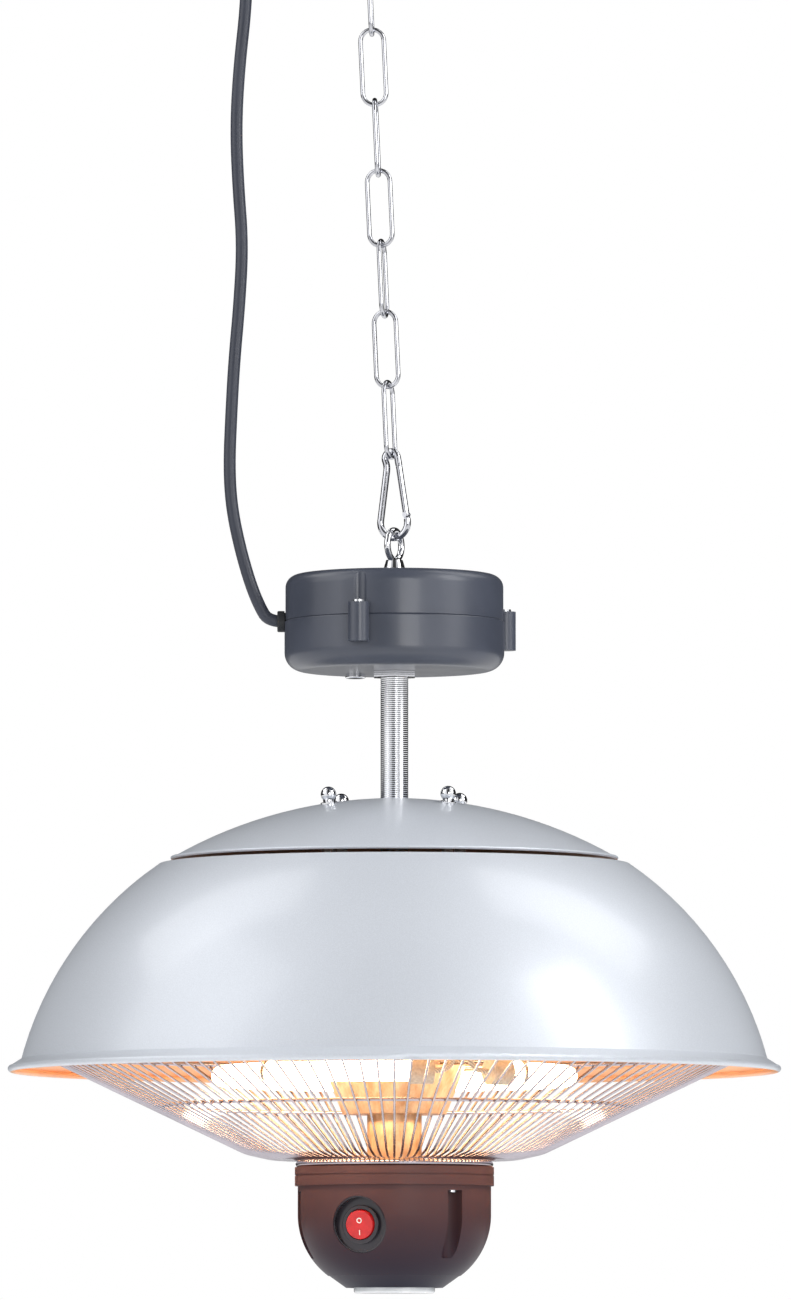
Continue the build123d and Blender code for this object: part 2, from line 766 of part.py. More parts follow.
core_start = spot(-90, inner_start_r - cable_inner_length, box_seam_h)
core_ring_r = core_spread / math.sqrt(3)
core_places = ((-core_spread / 2, -core_ring_r / 2), (0, core_ring_r), (core_spread / 2, -core_ring_r / 2))
with BuildPart() as core_wires:
    for (side, rise), pole_side in zip(core_places, pole_sides):
        core_points = [core_start + Vector(step, side, rise) for step in core_steps[:2]]
        core_points += [core_start + Vector(step, pole_side, 0) for step in core_steps[2:]]
        with BuildLine() as core_path:
            cord_line(core_points)
        with BuildSketch(Plane(origin=core_points[0], z_dir=(1, 0, 0))):
            Circle(core_r)
        sweep(path=core_path.wires()[0])
save(core_wires.part, "core_wires")

# Threaded tube with its five thin nuts
tube_top_h = box_low_h + box_wall + tube_nut_thick + tube_end_spare
tube_low_h = -cup_drop - collar_plate_thick - tube_nut_thick - tube_end_spare
with BuildPart() as threaded_tube:
    with BuildSketch(level(tube_low_h)):
        Circle(tube_r)
        Circle(tube_bore_r, mode=Mode.SUBTRACT)
    extrude(amount=tube_top_h - tube_low_h)
save(threaded_tube.part, "threaded_tube")

tube_nut_heights = (
    box_low_h + box_wall,
    box_low_h - tube_nut_thick,
    dome_height,
    dome_height - dome_wall - tube_nut_thick,
    -cup_drop - collar_plate_thick - tube_nut_thick,
)
with BuildPart() as tube_nuts:
    with BuildSketch(*[level(height) for height in tube_nut_heights]):
        RegularPolygon(tube_nut_across / 2, 6, major_radius=False, rotation=30)
        Circle(tube_r + tube_fit, mode=Mode.SUBTRACT)
    extrude(amount=tube_nut_thick)
save(tube_nuts.part, "tube_nuts")

# Cap: shallow spherical sheet with a rolled edge, held off the dome by four studs with ball nuts
cap_bead_place_r = cap_edge_r - cap_edge_bead_r
cap_sphere_r = (cap_bead_place_r**2 + cap_rise**2) / (2 * cap_rise)
cap_centre_h = cap_top_h - cap_sphere_r
cap_angle = math.degrees(math.asin(cap_bead_place_r / cap_sphere_r))
with BuildPart() as top_cap:
    with BuildSketch(profile):
        with BuildLine():
            cap_outer = CenterArc((0, cap_centre_h), cap_sphere_r, 90 - cap_angle, cap_angle)
            cap_inner = CenterArc((0, cap_centre_h), cap_sphere_r - cap_wall, 90 - cap_angle, cap_angle)
            Line(cap_outer @ 0, cap_inner @ 0)
            Line(cap_outer @ 1, cap_inner @ 1)
        make_face()
        with Locations((cap_bead_place_r, cap_edge_h)):
            Circle(cap_edge_bead_r)
    revolve(axis=heater_axis)
    with Locations(level(cap_top_h)):
        Cylinder(tube_r + stud_fit, 3 * cap_wall, mode=Mode.SUBTRACT)
        with PolarLocations(stud_circle_r, stud_count, start_angle=stud_first_angle):
            Cylinder(stud_r + stud_fit, 2 * cap_rise, mode=Mode.SUBTRACT)
save(top_cap.part, "top_cap")

stud_angles = [stud_first_angle + place * 360 / stud_count for place in range(stud_count)]
cap_centre = Vector(axis_x, 0, rim_z + cap_centre_h)
cap_seat_h = cap_centre_h + math.sqrt(cap_sphere_r**2 - stud_circle_r**2)
stud_seats = [spot(angle + 90, stud_circle_r, cap_seat_h) for angle in stud_angles]
stud_top_h = cap_seat_h + ball_flange_thick + ball_bore_depth
with BuildPart() as ball_nuts:
    for seat in stud_seats:
        with Locations(Plane(origin=seat, z_dir=seat - cap_centre)):
            Cylinder(ball_flange_r, ball_flange_thick, align=(Align.CENTER, Align.CENTER, Align.MIN))
        with Locations(seat + Vector(0, 0, ball_flange_thick)):
            Cylinder(ball_neck_r, ball_centre_rise, align=(Align.CENTER, Align.CENTER, Align.MIN))
        with Locations(seat + Vector(0, 0, ball_centre_rise)):
            Sphere(ball_r)
    with Locations(*stud_seats):
        Cylinder(stud_r + stud_fit, 2 * (ball_flange_thick + ball_bore_depth + stud_fit), mode=Mode.SUBTRACT)
save(ball_nuts.part, "ball_nuts")

stud_low_h = dome_height - dome_wall - stud_nut_thick - stud_spare
with BuildPart() as cap_studs:
    with Locations(level(stud_low_h)):
        with PolarLocations(stud_circle_r, stud_count, start_angle=stud_first_angle):
            Cylinder(stud_r, stud_top_h - stud_low_h, align=(Align.CENTER, Align.CENTER, Align.MIN))
save(cap_studs.part, "cap_studs")

spacer_top_h = cap_centre_h + math.sqrt((cap_sphere_r - cap_wall) ** 2 - (stud_circle_r + spacer_r) ** 2)
with BuildPart() as cap_spacers:
    with Locations(level(dome_height)):
        with PolarLocations(stud_circle_r, stud_count, start_angle=stud_first_angle):
            Cylinder(spacer_r, spacer_top_h - dome_height, align=(Align.CENTER, Align.CENTER, Align.MIN))
            Cylinder(stud_r + stud_fit, 2 * cap_rise + overrun, mode=Mode.SUBTRACT)
save(cap_spacers.part, "cap_spacers")

with BuildPart() as stud_nuts:
    with BuildSketch(level(dome_height - dome_wall)):
        with PolarLocations(stud_circle_r, stud_count, start_angle=stud_first_angle):
            RegularPolygon(stud_nut_across / 2, 6, major_radius=False)
            Circle(stud_r + stud_fit, mode=Mode.SUBTRACT)
    extrude(amount=-stud_nut_thick)
save(stud_nuts.part, "stud_nuts")

# Dome: flat deck, curved side, short flare and a rolled rim
dome_centre = arc_centre((dome_deck_r, dome_height), (dome_foot_r, dome_foot_h), dome_arc_r)
dome_inner_r = dome_arc_r - dome_wall
dome_hole_r = tube_r + tube_fit
rim_place_r = rim_r - rim_bead_r
with BuildPart() as dome_shell:
    with BuildSketch(profile):
        with BuildLine():
            Line((dome_hole_r, dome_height), (dome_deck_r, dome_height))
            arc_line(dome_centre, dome_arc_r, dome_height, dome_foot_h)
            Polyline(
                on_arc(dome_centre, dome_arc_r, dome_foot_h),
                (rim_place_r, rim_bead_r),
                (rim_place_r, rim_bead_r - dome_wall),
                on_arc(dome_centre, dome_inner_r, dome_foot_h),
            )
            arc_line(dome_centre, dome_inner_r, dome_foot_h, dome_height - dome_wall)
            Polyline(
                on_arc(dome_centre, dome_inner_r, dome_height - dome_wall),
                (dome_hole_r, dome_height - dome_wall),
                (dome_hole_r, dome_height),
            )
        make_face()
        with Locations((rim_place_r, 0)):
            Circle(rim_bead_r)
    revolve(axis=heater_axis)
    with Locations(level(dome_height)):
        with PolarLocations(stud_circle_r, stud_count, start_angle=stud_first_angle):
            Cylinder(stud_r + stud_fit, 3 * dome_wall, mode=Mode.SUBTRACT)
save(dome_shell.part, "dome_shell")

# Reflector below the deck
reflector_h = dome_height - reflector_drop
reflector_centre = arc_centre(
    (reflector_flat_r, reflector_h), (reflector_edge_r, reflector_edge_h), reflector_arc_r
)
reflector_inner_r = reflector_arc_r - reflector_wall
with BuildPart() as reflector:
    with BuildSketch(profile):
        with BuildLine():
            Line((dome_hole_r, reflector_h), (reflector_flat_r, reflector_h))
            arc_line(reflector_centre, reflector_arc_r, reflector_h, reflector_edge_h)
            Line(
                on_arc(reflector_centre, reflector_arc_r, reflector_edge_h),
                on_arc(reflector_centre, reflector_inner_r, reflector_edge_h),
            )
            arc_line(reflector_centre, reflector_inner_r, reflector_edge_h, reflector_h - reflector_wall)
            Polyline(
                on_arc(reflector_centre, reflector_inner_r, reflector_h - reflector_wall),
                (dome_hole_r, reflector_h - reflector_wall),
                (dome_hole_r, reflector_h),
            )
        make_face()
    revolve(axis=heater_axis)
save(reflector.part, "reflector")

# Sleeves on the tube, the cone-shaped hub and the column below it
with BuildPart() as reflector_sleeve:
    with BuildSketch(level(reflector_h)):
        Circle(sleeve_r)
        Circle(dome_hole_r, mode=Mode.SUBTRACT)
    extrude(amount=reflector_drop - dome_wall - tube_nut_thick)
save(reflector_sleeve.part, "reflector_sleeve")

with BuildPart() as upper_sleeve:
    with BuildSketch(level(hub_low_h + hub_wall)):
        Circle(sleeve_r)
        Circle(dome_hole_r, mode=Mode.SUBTRACT)
    extrude(amount=reflector_h - reflector_wall - hub_low_h - hub_wall)
save(upper_sleeve.part, "upper_sleeve")

hub_high_h = lamp_h + lamp_tube_r
with BuildPart() as centre_hub:
    with BuildSketch(profile):
        Polygon(
            (dome_hole_r, hub_low_h),
            (hub_low_r, hub_low_h),
            (hub_high_r, hub_high_h),
            (hub_high_r - hub_wall, hub_high_h),
            (hub_low_r - hub_wall, hub_low_h + hub_wall),
            (dome_hole_r, hub_low_h + hub_wall),
            align=None,
        )
    revolve(axis=heater_axis)
save(centre_hub.part, "centre_hub")

with BuildPart() as hub_column:
    with BuildSketch(level(-cup_drop)):
        Circle(column_r)
        Circle(dome_hole_r, mode=Mode.SUBTRACT)
    extrude(amount=hub_low_h + cup_drop)
save(hub_column.part, "hub_column")


# Lamp: ring-shaped tube with a ceramic end on each side of its gap, held by wire arms
tube_from = lamp_gap_to + lamp_end_angle
tube_sweep = 360 - tube_from + lamp_gap_from - lamp_end_angle
with BuildPart() as lamp_tube:
    with BuildLine(level(lamp_h)) as ring_path:
        ring_arc = CenterArc((0, 0), lamp_ring_r, tube_from - 90, tube_sweep)
    with BuildSketch(Plane(origin=ring_arc @ 0, z_dir=ring_arc % 0)):
        Circle(lamp_tube_r)
    sweep(path=ring_path.wires()[0])
save(lamp_tube.part, "lamp_tube")

with BuildPart() as lamp_ends:
    for first in (lamp_gap_from - lamp_end_angle, lamp_gap_to):
        with BuildLine(level(lamp_h)) as end_path:
            end_arc = CenterArc((0, 0), lamp_ring_r, first - 90, lamp_end_angle)
        with BuildSketch(Plane(origin=end_arc @ 0, z_dir=end_arc % 0)):
            Circle(lamp_end_r)
        sweep(path=end_path.wires()[0])
save(lamp_ends.part, "lamp_ends")


def reflector_under(radius):
    """Height of the reflector's underside at this distance from the axis."""
    return reflector_centre.Y + math.sqrt(reflector_inner_r**2 - (radius - reflector_centre.X) ** 2)


with BuildPart() as lamp_leads:
    for azimuth, way in ((lamp_gap_from, 1), (lamp_gap_to, -1)):
        lead_heights = [lamp_h + rise for rise in lead_rises]
        lead_azimuths = [azimuth + way * turn for turn in lead_turns]
        lead_points = [spot(turn, lamp_ring_r, h) for turn, h in zip(lead_azimuths, lead_heights)]
        lead_points.append(spot(lead_azimuths[-1], lamp_ring_r, reflector_under(lamp_ring_r) - wire_r))
        along = Vector(math.cos(math.radians(azimuth)), math.sin(math.radians(azimuth)), 0) * way
        with BuildLine() as lead_path:
            cord_line(lead_points)
        with BuildSketch(Plane(origin=lead_points[0], z_dir=along)):
            Circle(lamp_lead_r)
        sweep(path=lead_path.wires()[0])
save(lamp_leads.part, "lamp_leads")

arm_h = hub_high_h + arm_r + arm_seat_gap
arm_bend_r = arm_h - lamp_h
with BuildPart() as lamp_brackets:
    for place in range(arm_count):
        with BuildLine(radial(arm_first_angle + place * 360 / arm_count)) as arm_path:
            arm = Line((arm_foot_r, arm_h), (lamp_ring_r, arm_h))
            CenterArc((lamp_ring_r, lamp_h), arm_bend_r, 90, -arm_grip_angle)
        with BuildSketch(Plane(origin=arm @ 0, z_dir=arm % 0)):
            Circle(arm_r)
        sweep(path=arm_path.wires()[0])
save(lamp_brackets.part, "lamp_brackets")

# Grille: bent wires round a cone, three rings and the clips of the outer one
wire_stations = (
    (wire_end_r, wire_end_h),
    (wire_bend_r, wire_bend_h),
    (wire_foot_r, wire_foot_h),
    (wire_inner_r, wire_inner_h),
)
with BuildPart() as grille_wire:
    for place, (radius, height) in enumerate(wire_stations):
        before = wire_stations[max(place - 1, 0)]
        after = wire_stations[min(place + 1, len(wire_stations) - 1)]
        along = Vector(after[0] - before[0], 0, after[1] - before[1])
        with BuildSketch(Plane(origin=(radius, 0, height), x_dir=(0, 1, 0), z_dir=along)):
            RegularPolygon(wire_r, wire_sides)
    loft(ruled=True)

with BuildPart() as grille_wires:
    with Locations(level(0)):
        with PolarLocations(0, wire_count):
            add(grille_wire.part)
save(grille_wires.part, "grille_wires")

wire_slope = math.atan2(wire_end_h - wire_bend_h, wire_end_r - wire_bend_r)


def ring_above(radius, ring_wire):
    """Height of a ring that lies on top of the wires at this radius."""
    line_h = wire_end_h - (wire_end_r - radius) * math.tan(wire_slope)
    return line_h + (wire_r + ring_wire / 2 + weld_gap) / math.cos(wire_slope)


outer_ring_h = ring_above(outer_ring_r, outer_ring_wire)
with BuildPart() as grille_rings:
    with Locations(level(outer_ring_h)):
        Torus(outer_ring_r, outer_ring_wire / 2)
    with Locations(level(ring_above(middle_ring_r, middle_ring_wire))):
        Torus(middle_ring_r, middle_ring_wire / 2)
    with Locations(level(inner_ring_wire / 2 - cup_drop)):
        Torus(inner_ring_r, inner_ring_wire / 2)
save(grille_rings.part, "grille_rings")

clip_bore_r = outer_ring_wire / 2 + clip_gap
clip_back_r = on_arc(dome_centre, dome_inner_r, outer_ring_h)[0] - clip_gap
clip_top_r = on_arc(dome_centre, dome_inner_r, outer_ring_h + clip_leg)[0] - clip_gap
with BuildPart() as grille_clips:
    for place in range(clip_count):
        with BuildSketch(radial(clip_turn + place * 360 / clip_count)):
            with Locations((outer_ring_r, outer_ring_h)):
                Circle(clip_bore_r + clip_thick)
            Polygon(
                (outer_ring_r, outer_ring_h - clip_thick / 2),
                (clip_back_r, outer_ring_h - clip_thick / 2),
                (clip_back_r, outer_ring_h),
                (clip_top_r, outer_ring_h + clip_leg),
                (clip_top_r - clip_thick, outer_ring_h + clip_leg),
                (clip_back_r - clip_thick, outer_ring_h + clip_thick / 2),
                (outer_ring_r, outer_ring_h + clip_thick / 2),
                align=None,
            )
            with Locations((outer_ring_r, outer_ring_h)):
                Circle(clip_bore_r, mode=Mode.SUBTRACT)
                Rectangle(2 * clip_bore_r, clip_width, align=(Align.MAX, Align.CENTER), mode=Mode.SUBTRACT)
        extrude(amount=clip_width / 2, both=True)
save(grille_clips.part, "grille_clips")

# Switch cup: drum, body with three screw channels, bottom ring and lens
cup_top_h = -cup_drop - collar_height
cup_arc_h = cup_top_h - cup_straight
cup_centre = arc_centre((cup_top_r, cup_arc_h), (cup_low_r, cup_low_h), cup_arc_r)
cup_inner_arc_r = cup_arc_r - cup_wall
cup_screw_spots = [spot(azimuth, cup_screw_circle_r, cup_top_h) for azimuth in cup_screw_azimuths]
with BuildPart() as cup_collar:
    with Locations(level(-cup_drop)):
        Cylinder(collar_r, collar_height, align=(Align.CENTER, Align.CENTER, Align.MAX))
    with Locations(level(-cup_drop - collar_plate_thick)):
        Cylinder(
            collar_r - cup_wall,
            collar_height,
            align=(Align.CENTER, Align.CENTER, Align.MAX),
            mode=Mode.SUBTRACT,
        )
    with Locations(*cup_screw_spots):
        Cylinder(
            cup_screw_boss_r,
            collar_height - collar_plate_thick,
            align=(Align.CENTER, Align.CENTER, Align.MIN),
        )
        Cylinder(
            cup_screw_r + stud_fit,
            2 * (cup_screw_length - cup_channel_top) + overrun / 5,
            mode=Mode.SUBTRACT,
        )
    with BuildSketch(level(-cup_drop - collar_groove_drop)):
        Circle(collar_r + overrun)
        Circle(collar_r - collar_groove_depth, mode=Mode.SUBTRACT)
    extrude(amount=-collar_groove_width, mode=Mode.SUBTRACT)
    with Locations(level(-cup_drop)):
        Cylinder(tube_r + tube_fit, 3 * collar_plate_thick, mode=Mode.SUBTRACT)
save(cup_collar.part, "cup_collar")


def cup_form(step):
    """The cup's full outer form, drawn back by this step."""
    with BuildPart() as form:
        with BuildSketch(profile):
            with BuildLine():
                Polyline(
                    (0, cup_low_h),
                    (0, cup_top_h),
                    (cup_top_r - step, cup_top_h),
                    on_arc(cup_centre, cup_arc_r - step, cup_arc_h),
                )
                arc_line(cup_centre, cup_arc_r - step, cup_arc_h, cup_low_h)
                Line(on_arc(cup_centre, cup_arc_r - step, cup_low_h), (0, cup_low_h))
            make_face()
        revolve(axis=heater_axis)
    return form.part


channel_h = cup_top_h - cup_channel_top
channel_spots = [place - Vector(0, 0, cup_channel_top) for place in cup_screw_spots]
switch_floor = facing(switch_azimuth, recess_floor, switch_h)
pocket_r = recess_r + pocket_wall
with BuildPart() as cup_body:
    with Locations(switch_floor):
        Cylinder(pocket_r + recess_wall, recess_floor / 2)
    with Locations(*cup_screw_spots):
        Cylinder(
            cup_channel_width / 2 + cup_channel_wall,
            cup_channel_top + cup_channel_length,
            align=(Align.CENTER, Align.CENTER, Align.MAX),
        )
    with Locations(switch_floor.offset(-recess_wall - pocket_wall)):
        Cylinder(
            pocket_r + 2 * recess_wall,
            recess_floor,
            align=(Align.CENTER, Align.CENTER, Align.MAX),
            mode=Mode.SUBTRACT,
        )
    add(cup_form(0), mode=Mode.INTERSECT)
    with BuildSketch(profile):
        with BuildLine():
            Polyline(
                on_arc(cup_centre, cup_inner_arc_r, cup_arc_h),
                (cup_top_r - cup_wall, cup_top_h),
                (cup_top_r, cup_top_h),
                on_arc(cup_centre, cup_arc_r, cup_arc_h),
            )
            arc_line(cup_centre, cup_arc_r, cup_arc_h, cup_low_h)
            Line(on_arc(cup_centre, cup_arc_r, cup_low_h), on_arc(cup_centre, cup_inner_arc_r, cup_low_h))
            arc_line(cup_centre, cup_inner_arc_r, cup_low_h, cup_arc_h)
        make_face()
    revolve(axis=heater_axis)
    with Locations(switch_floor.offset(-pocket_wall)):
        Cylinder(
            pocket_r + pocket_fit,
            recess_floor,
            align=(Align.CENTER, Align.CENTER, Align.MIN),
            mode=Mode.SUBTRACT,
        )
    with Locations(switch_floor):
        Cylinder(switch_body_r + switch_fit, recess_floor / 2, mode=Mode.SUBTRACT)
    with Locations(*channel_spots):
        Cylinder(
            cup_channel_width / 2,
            cup_channel_length,
            align=(Align.CENTER, Align.CENTER, Align.MAX),
            mode=Mode.SUBTRACT,
        )
        Cylinder(cup_screw_r + stud_fit, 3 * cup_channel_top, mode=Mode.SUBTRACT)
    for azimuth in cup_screw_azimuths:
        with Locations(facing(azimuth, cup_screw_circle_r, channel_h - cup_channel_length / 2)):
            Box(
                cup_channel_width,
                cup_channel_length,
                2 * cup_screw_boss_r,
                align=(Align.CENTER, Align.CENTER, Align.MIN),
                mode=Mode.SUBTRACT,
            )
save(cup_body.part, "cup_body")

with BuildPart() as cup_bottom_ring:
    with BuildSketch(profile):
        Polygon(
            (cup_low_r - bottom_ring_shy, cup_low_h),
            (bottom_ring_low_r, bottom_ring_low_h),
            (bottom_ring_lip_r, bottom_ring_low_h),
            (bottom_ring_lip_r, bottom_ring_low_h + lens_ledge_rise),
            (lens_ledge_r, bottom_ring_low_h + lens_ledge_rise),
            (lens_ledge_r, bottom_ring_low_h + lens_ledge_rise + cup_wall),
            (cup_low_r - 2 * cup_wall, cup_low_h),
            align=None,
        )
    revolve(axis=heater_axis)
save(cup_bottom_ring.part, "cup_bottom_ring")

lens_seat_h = bottom_ring_low_h + lens_ledge_rise
with BuildPart() as lamp_lens:
    with Locations(level(lens_seat_h)):
        Cylinder(lens_r, lens_ledge_rise + lens_drop, align=(Align.CENTER, Align.CENTER, Align.MAX))
        Cylinder(lens_flange_r, lens_thick, align=(Align.CENTER, Align.CENTER, Align.MIN))
    fillet(lamp_lens.faces().sort_by(Axis.Z)[0].edges(), lens_round)
    with Locations(level(lens_seat_h + lens_thick)):
        Cylinder(
            lens_r - lens_thick,
            lens_ledge_rise + lens_drop,
            align=(Align.CENTER, Align.CENTER, Align.MAX),
            mode=Mode.SUBTRACT,
        )
save(lamp_lens.part, "lamp_lens")

with BuildPart() as led_board:
    with Locations(level(lens_seat_h + lens_thick)):
        Cylinder(board_r, board_thick, align=(Align.CENTER, Align.CENTER, Align.MIN))
save(led_board.part, "led_board")

with BuildPart() as cup_screws:
    with Locations(*channel_spots):
        Cylinder(cup_screw_r, cup_screw_length, align=(Align.CENTER, Align.CENTER, Align.MIN))
        Cylinder(cup_screw_head_r, cup_screw_head_thick, align=(Align.CENTER, Align.CENTER, Align.MAX))
save(cup_screws.part, "cup_screws")

# Round rocker switch in a ribbed pocket
with BuildPart() as switch_pocket:
    with Locations(switch_floor.offset(-pocket_wall)):
        Cylinder(pocket_r, recess_floor, align=(Align.CENTER, Align.CENTER, Align.MIN))
    add(cup_form(pocket_shy), mode=Mode.INTERSECT)
    with Locations(switch_floor):
        Cylinder(recess_r, recess_floor, align=(Align.CENTER, Align.CENTER, Align.MIN), mode=Mode.SUBTRACT)
        Cylinder(switch_body_r + switch_fit, 3 * pocket_wall, mode=Mode.SUBTRACT)
        with PolarLocations(recess_r, recess_rib_count):
            Cylinder(
                recess_rib_r,
                recess_floor,
                align=(Align.CENTER, Align.CENTER, Align.MIN),
                mode=Mode.SUBTRACT,
            )
save(switch_pocket.part, "switch_pocket")

rocker_axis = switch_floor.offset(bezel_height / 2)
pin_place = Plane(origin=rocker_axis.origin, x_dir=rocker_axis.z_dir, z_dir=rocker_axis.x_dir)
with BuildPart() as switch_bezel:
    with BuildSketch(switch_floor):
        Circle(bezel_r)
        Circle(bezel_inner_r, mode=Mode.SUBTRACT)
    extrude(amount=bezel_height)
    bezel_rims = switch_bezel.faces().sort_by(Axis(switch_floor.origin, switch_floor.z_dir))[-1].edges()
    fillet(bezel_rims.sort_by(SortBy.RADIUS)[-1], bezel_round)
    with Locations(pin_place):
        Cylinder(rocker_pin_r + rocker_pin_clear, rocker_pin_hole_length, mode=Mode.SUBTRACT)
save(switch_bezel.part, "switch_bezel")

with BuildPart() as switch_body:
    with Locations(switch_floor):
        Cylinder(switch_body_r, switch_body_depth, align=(Align.CENTER, Align.CENTER, Align.MAX))
        Cylinder(
            switch_cavity_r,
            switch_cavity_depth,
            align=(Align.CENTER, Align.CENTER, Align.MAX),
            mode=Mode.SUBTRACT,
        )
save(switch_body.part, "switch_body")

rocker_plane = rocker_axis.rotated((rocker_tilt, 0, 0))
with BuildPart() as switch_rocker:
    with Locations(rocker_plane):
        Sphere(rocker_r)
        Box(2 * rocker_r, 2 * rocker_r, rocker_front + rocker_back,
            align=(Align.CENTER, Align.CENTER, Align.CENTER), mode=Mode.INTERSECT)
    with Locations(pin_place):
        Cylinder(rocker_pin_r, rocker_pin_length)
save(switch_rocker.part, "switch_rocker")

# Spare cable: one coil in two layers, spiralling in, across and out again
coil_front_y = coil_centre_y - (cable_d + coil_turn_gap) / 2
coil_step = (cable_d + coil_turn_gap) / 2
coil_centre = Vector(coil_centre_x, coil_centre_y, rim_z + coil_centre_h)


def coil_point(x, y, h):
    """Place in the coil's own upright frame."""
    return coil_centre + Vector(x, y, h)


coil_turns_in = [(coil_outer_r - place * coil_step, -coil_step) for place in range(coil_half_turns_in)]
coil_turns_out = [(radius, coil_step) for radius, side in reversed(coil_turns_in[1:])]
with BuildPart() as cable_coil:
    with BuildLine() as coil_path:
        place_x = -coil_outer_r
        way = 1
        coil_run = Line(coil_point(place_x, -coil_step, -cable_d), coil_point(place_x, -coil_step, 0))
        for radius, side in coil_turns_in:
            ThreePointArc(
                coil_point(place_x, side, 0),
                coil_point(place_x + way * radius, side, way * radius),
                coil_point(place_x + 2 * way * radius, side, 0),
            )
            place_x = place_x + 2 * way * radius
            way = -way
        ThreePointArc(
            coil_point(place_x, -coil_step, 0),
            coil_point(place_x + way * coil_climb_r, 0, way * coil_climb_r),
            coil_point(place_x + 2 * way * coil_climb_r, coil_step, 0),
        )
        place_x = place_x + 2 * way * coil_climb_r
        way = -way
        for radius, side in coil_turns_out:
            ThreePointArc(
                coil_point(place_x, side, 0),
                coil_point(place_x + way * radius, side, way * radius),
                coil_point(place_x + 2 * way * radius, side, 0),
            )
            place_x = place_x + 2 * way * radius
            way = -way
        halfway = coil_outer_r * math.sqrt(1 / 2)
        ThreePointArc(
            coil_point(place_x, coil_step, 0),
            coil_point(place_x + coil_outer_r - halfway, coil_step, halfway),
            coil_point(place_x + coil_outer_r, coil_step, coil_outer_r),
        )
        coil_out = Line(
            coil_point(place_x + coil_outer_r, coil_step, coil_outer_r),
            coil_point(place_x + coil_outer_r + cable_d, coil_step, coil_outer_r),
        )
    with BuildSketch(Plane(origin=coil_run @ 0, z_dir=(0, 0, 1))):
        Circle(cable_d / 2)
    sweep(path=coil_path.wires()[0])
save(cable_coil.part, "cable_coil")
coil_wire = coil_path.wires()[0]
coil_samples = int(coil_wire.length / coil_sample_pitch)
samples = [coil_wire @ (place / coil_samples) for place in range(coil_samples + 1)]
apart = int(2 * coil_climb_r / coil_sample_pitch)
least = min(
    (samples[first] - samples[second]).length
    for first in range(len(samples))
    for second in range(first + apart, len(samples))
)
print("coil length", coil_wire.length, "least gap", least - cable_d)

# From the coil to the plug
with BuildPart() as cable_tail:
    with BuildLine() as tail_path:
        tail_start = coil_out @ 1 + Vector(cord_joint_gap, 0, 0)
        tail_run = Line(tail_start, Vector(plug_x - tail_bend_r, tail_start.Y, tail_start.Z))
        ThreePointArc(
            tail_run @ 1,
            tail_run @ 1 + Vector(math.sqrt(1 / 2), 0, math.sqrt(1 / 2) - 1) * tail_bend_r,
            tail_run @ 1 + Vector(1, 0, -1) * tail_bend_r,
        )
    with BuildSketch(Plane(origin=tail_run @ 0, z_dir=(1, 0, 0))):
        Circle(cable_d / 2)
    sweep(path=tail_path.wires()[0])
save(cable_tail.part, "cable_tail")
print("tail length", tail_path.wires()[0].length)

plug_top = tail_path.wires()[0] @ 1
plug_face = plug_top - Vector(0, 0, relief_length + plug_body_length)
shoulder_h = -relief_length - plug_shoulder_share * plug_body_length
with BuildPart() as plug_body:
    with BuildSketch(Plane(origin=plug_top, x_dir=(1, 0, 0), z_dir=(0, -1, 0))):
        Polygon(
            (0, 0),
            (relief_top_r, 0),
            (relief_r, -relief_length),
            (plug_neck_r, -relief_length),
            (plug_r, shoulder_h),
            (plug_r, -relief_length - plug_body_length),
            (0, -relief_length - plug_body_length),
            align=None,
        )
    revolve(axis=Axis(plug_top, (0, 0, 1)))
    fillet(plug_body.faces().sort_by(Axis.Z)[0].edges(), plug_round)
save(plug_body.part, "plug_body")

with BuildPart() as plug_pins:
    for side in (-plug_pin_spread / 2, plug_pin_spread / 2):
        with Locations(plug_face + Vector(side, 0, 0)):
            Cylinder(plug_pin_r, plug_pin_length, align=(Align.CENTER, Align.CENTER, Align.MAX))
    fillet(plug_pins.faces().group_by(Axis.Z)[0].edges(), plug_pin_r / 2)
save(plug_pins.part, "plug_pins")

# Strap: one band round the second link and the coil's near side
strap_s = (hook_low_z - rim_z - strap_h) / math.cos(math.radians(chain_lean))
strap_middle = hook_low + lean_down * strap_s


def coil_side_x(radius, height, way):
    """Where a circle stands at this height to cover a lower half turn's outer or inner edge."""
    edge = math.sqrt((radius + way * cable_d / 2) ** 2 - (coil_centre_h - height) ** 2)
    return coil_centre_x + coil_step + edge - way * cable_d / 2


strap_low_h = strap_h - strap_width / 2
strap_high_h = strap_h + strap_width / 2
outer_turn_r = coil_turns_in[1][0]
bundle_spots = [
    (coil_side_x(coil_climb_r, strap_low_h, -1), coil_front_y),
    (coil_side_x(coil_climb_r, strap_low_h, -1), coil_centre_y),
    (coil_side_x(outer_turn_r, strap_high_h, 1), coil_front_y),
    (coil_side_x(outer_turn_r, strap_high_h, 1), coil_front_y + 2 * coil_step),
    (coil_side_x(coil_turns_in[3][0], strap_low_h, -1), coil_front_y + 2 * coil_step),
]
link_spots = [(strap_middle.X - link_crown_r, 0), (strap_middle.X + link_crown_r, 0)]
with BuildPart() as coil_strap:
    with BuildSketch(Plane(origin=(0, 0, rim_z + strap_low_h))):
        with Locations(*bundle_spots):
            Circle(cable_d / 2 + strap_gap + strap_thick)
        with Locations(*link_spots):
            Circle(link_wire / 2 + strap_gap + strap_thick)
        make_hull()
    extrude(amount=strap_width)
    with BuildSketch(Plane(origin=(0, 0, rim_z + strap_low_h))):
        with Locations(*bundle_spots):
            Circle(cable_d / 2 + strap_gap)
        with Locations(*link_spots):
            Circle(link_wire / 2 + strap_gap)
        make_hull()
    extrude(amount=strap_width, mode=Mode.SUBTRACT)
save(coil_strap.part, "coil_strap")

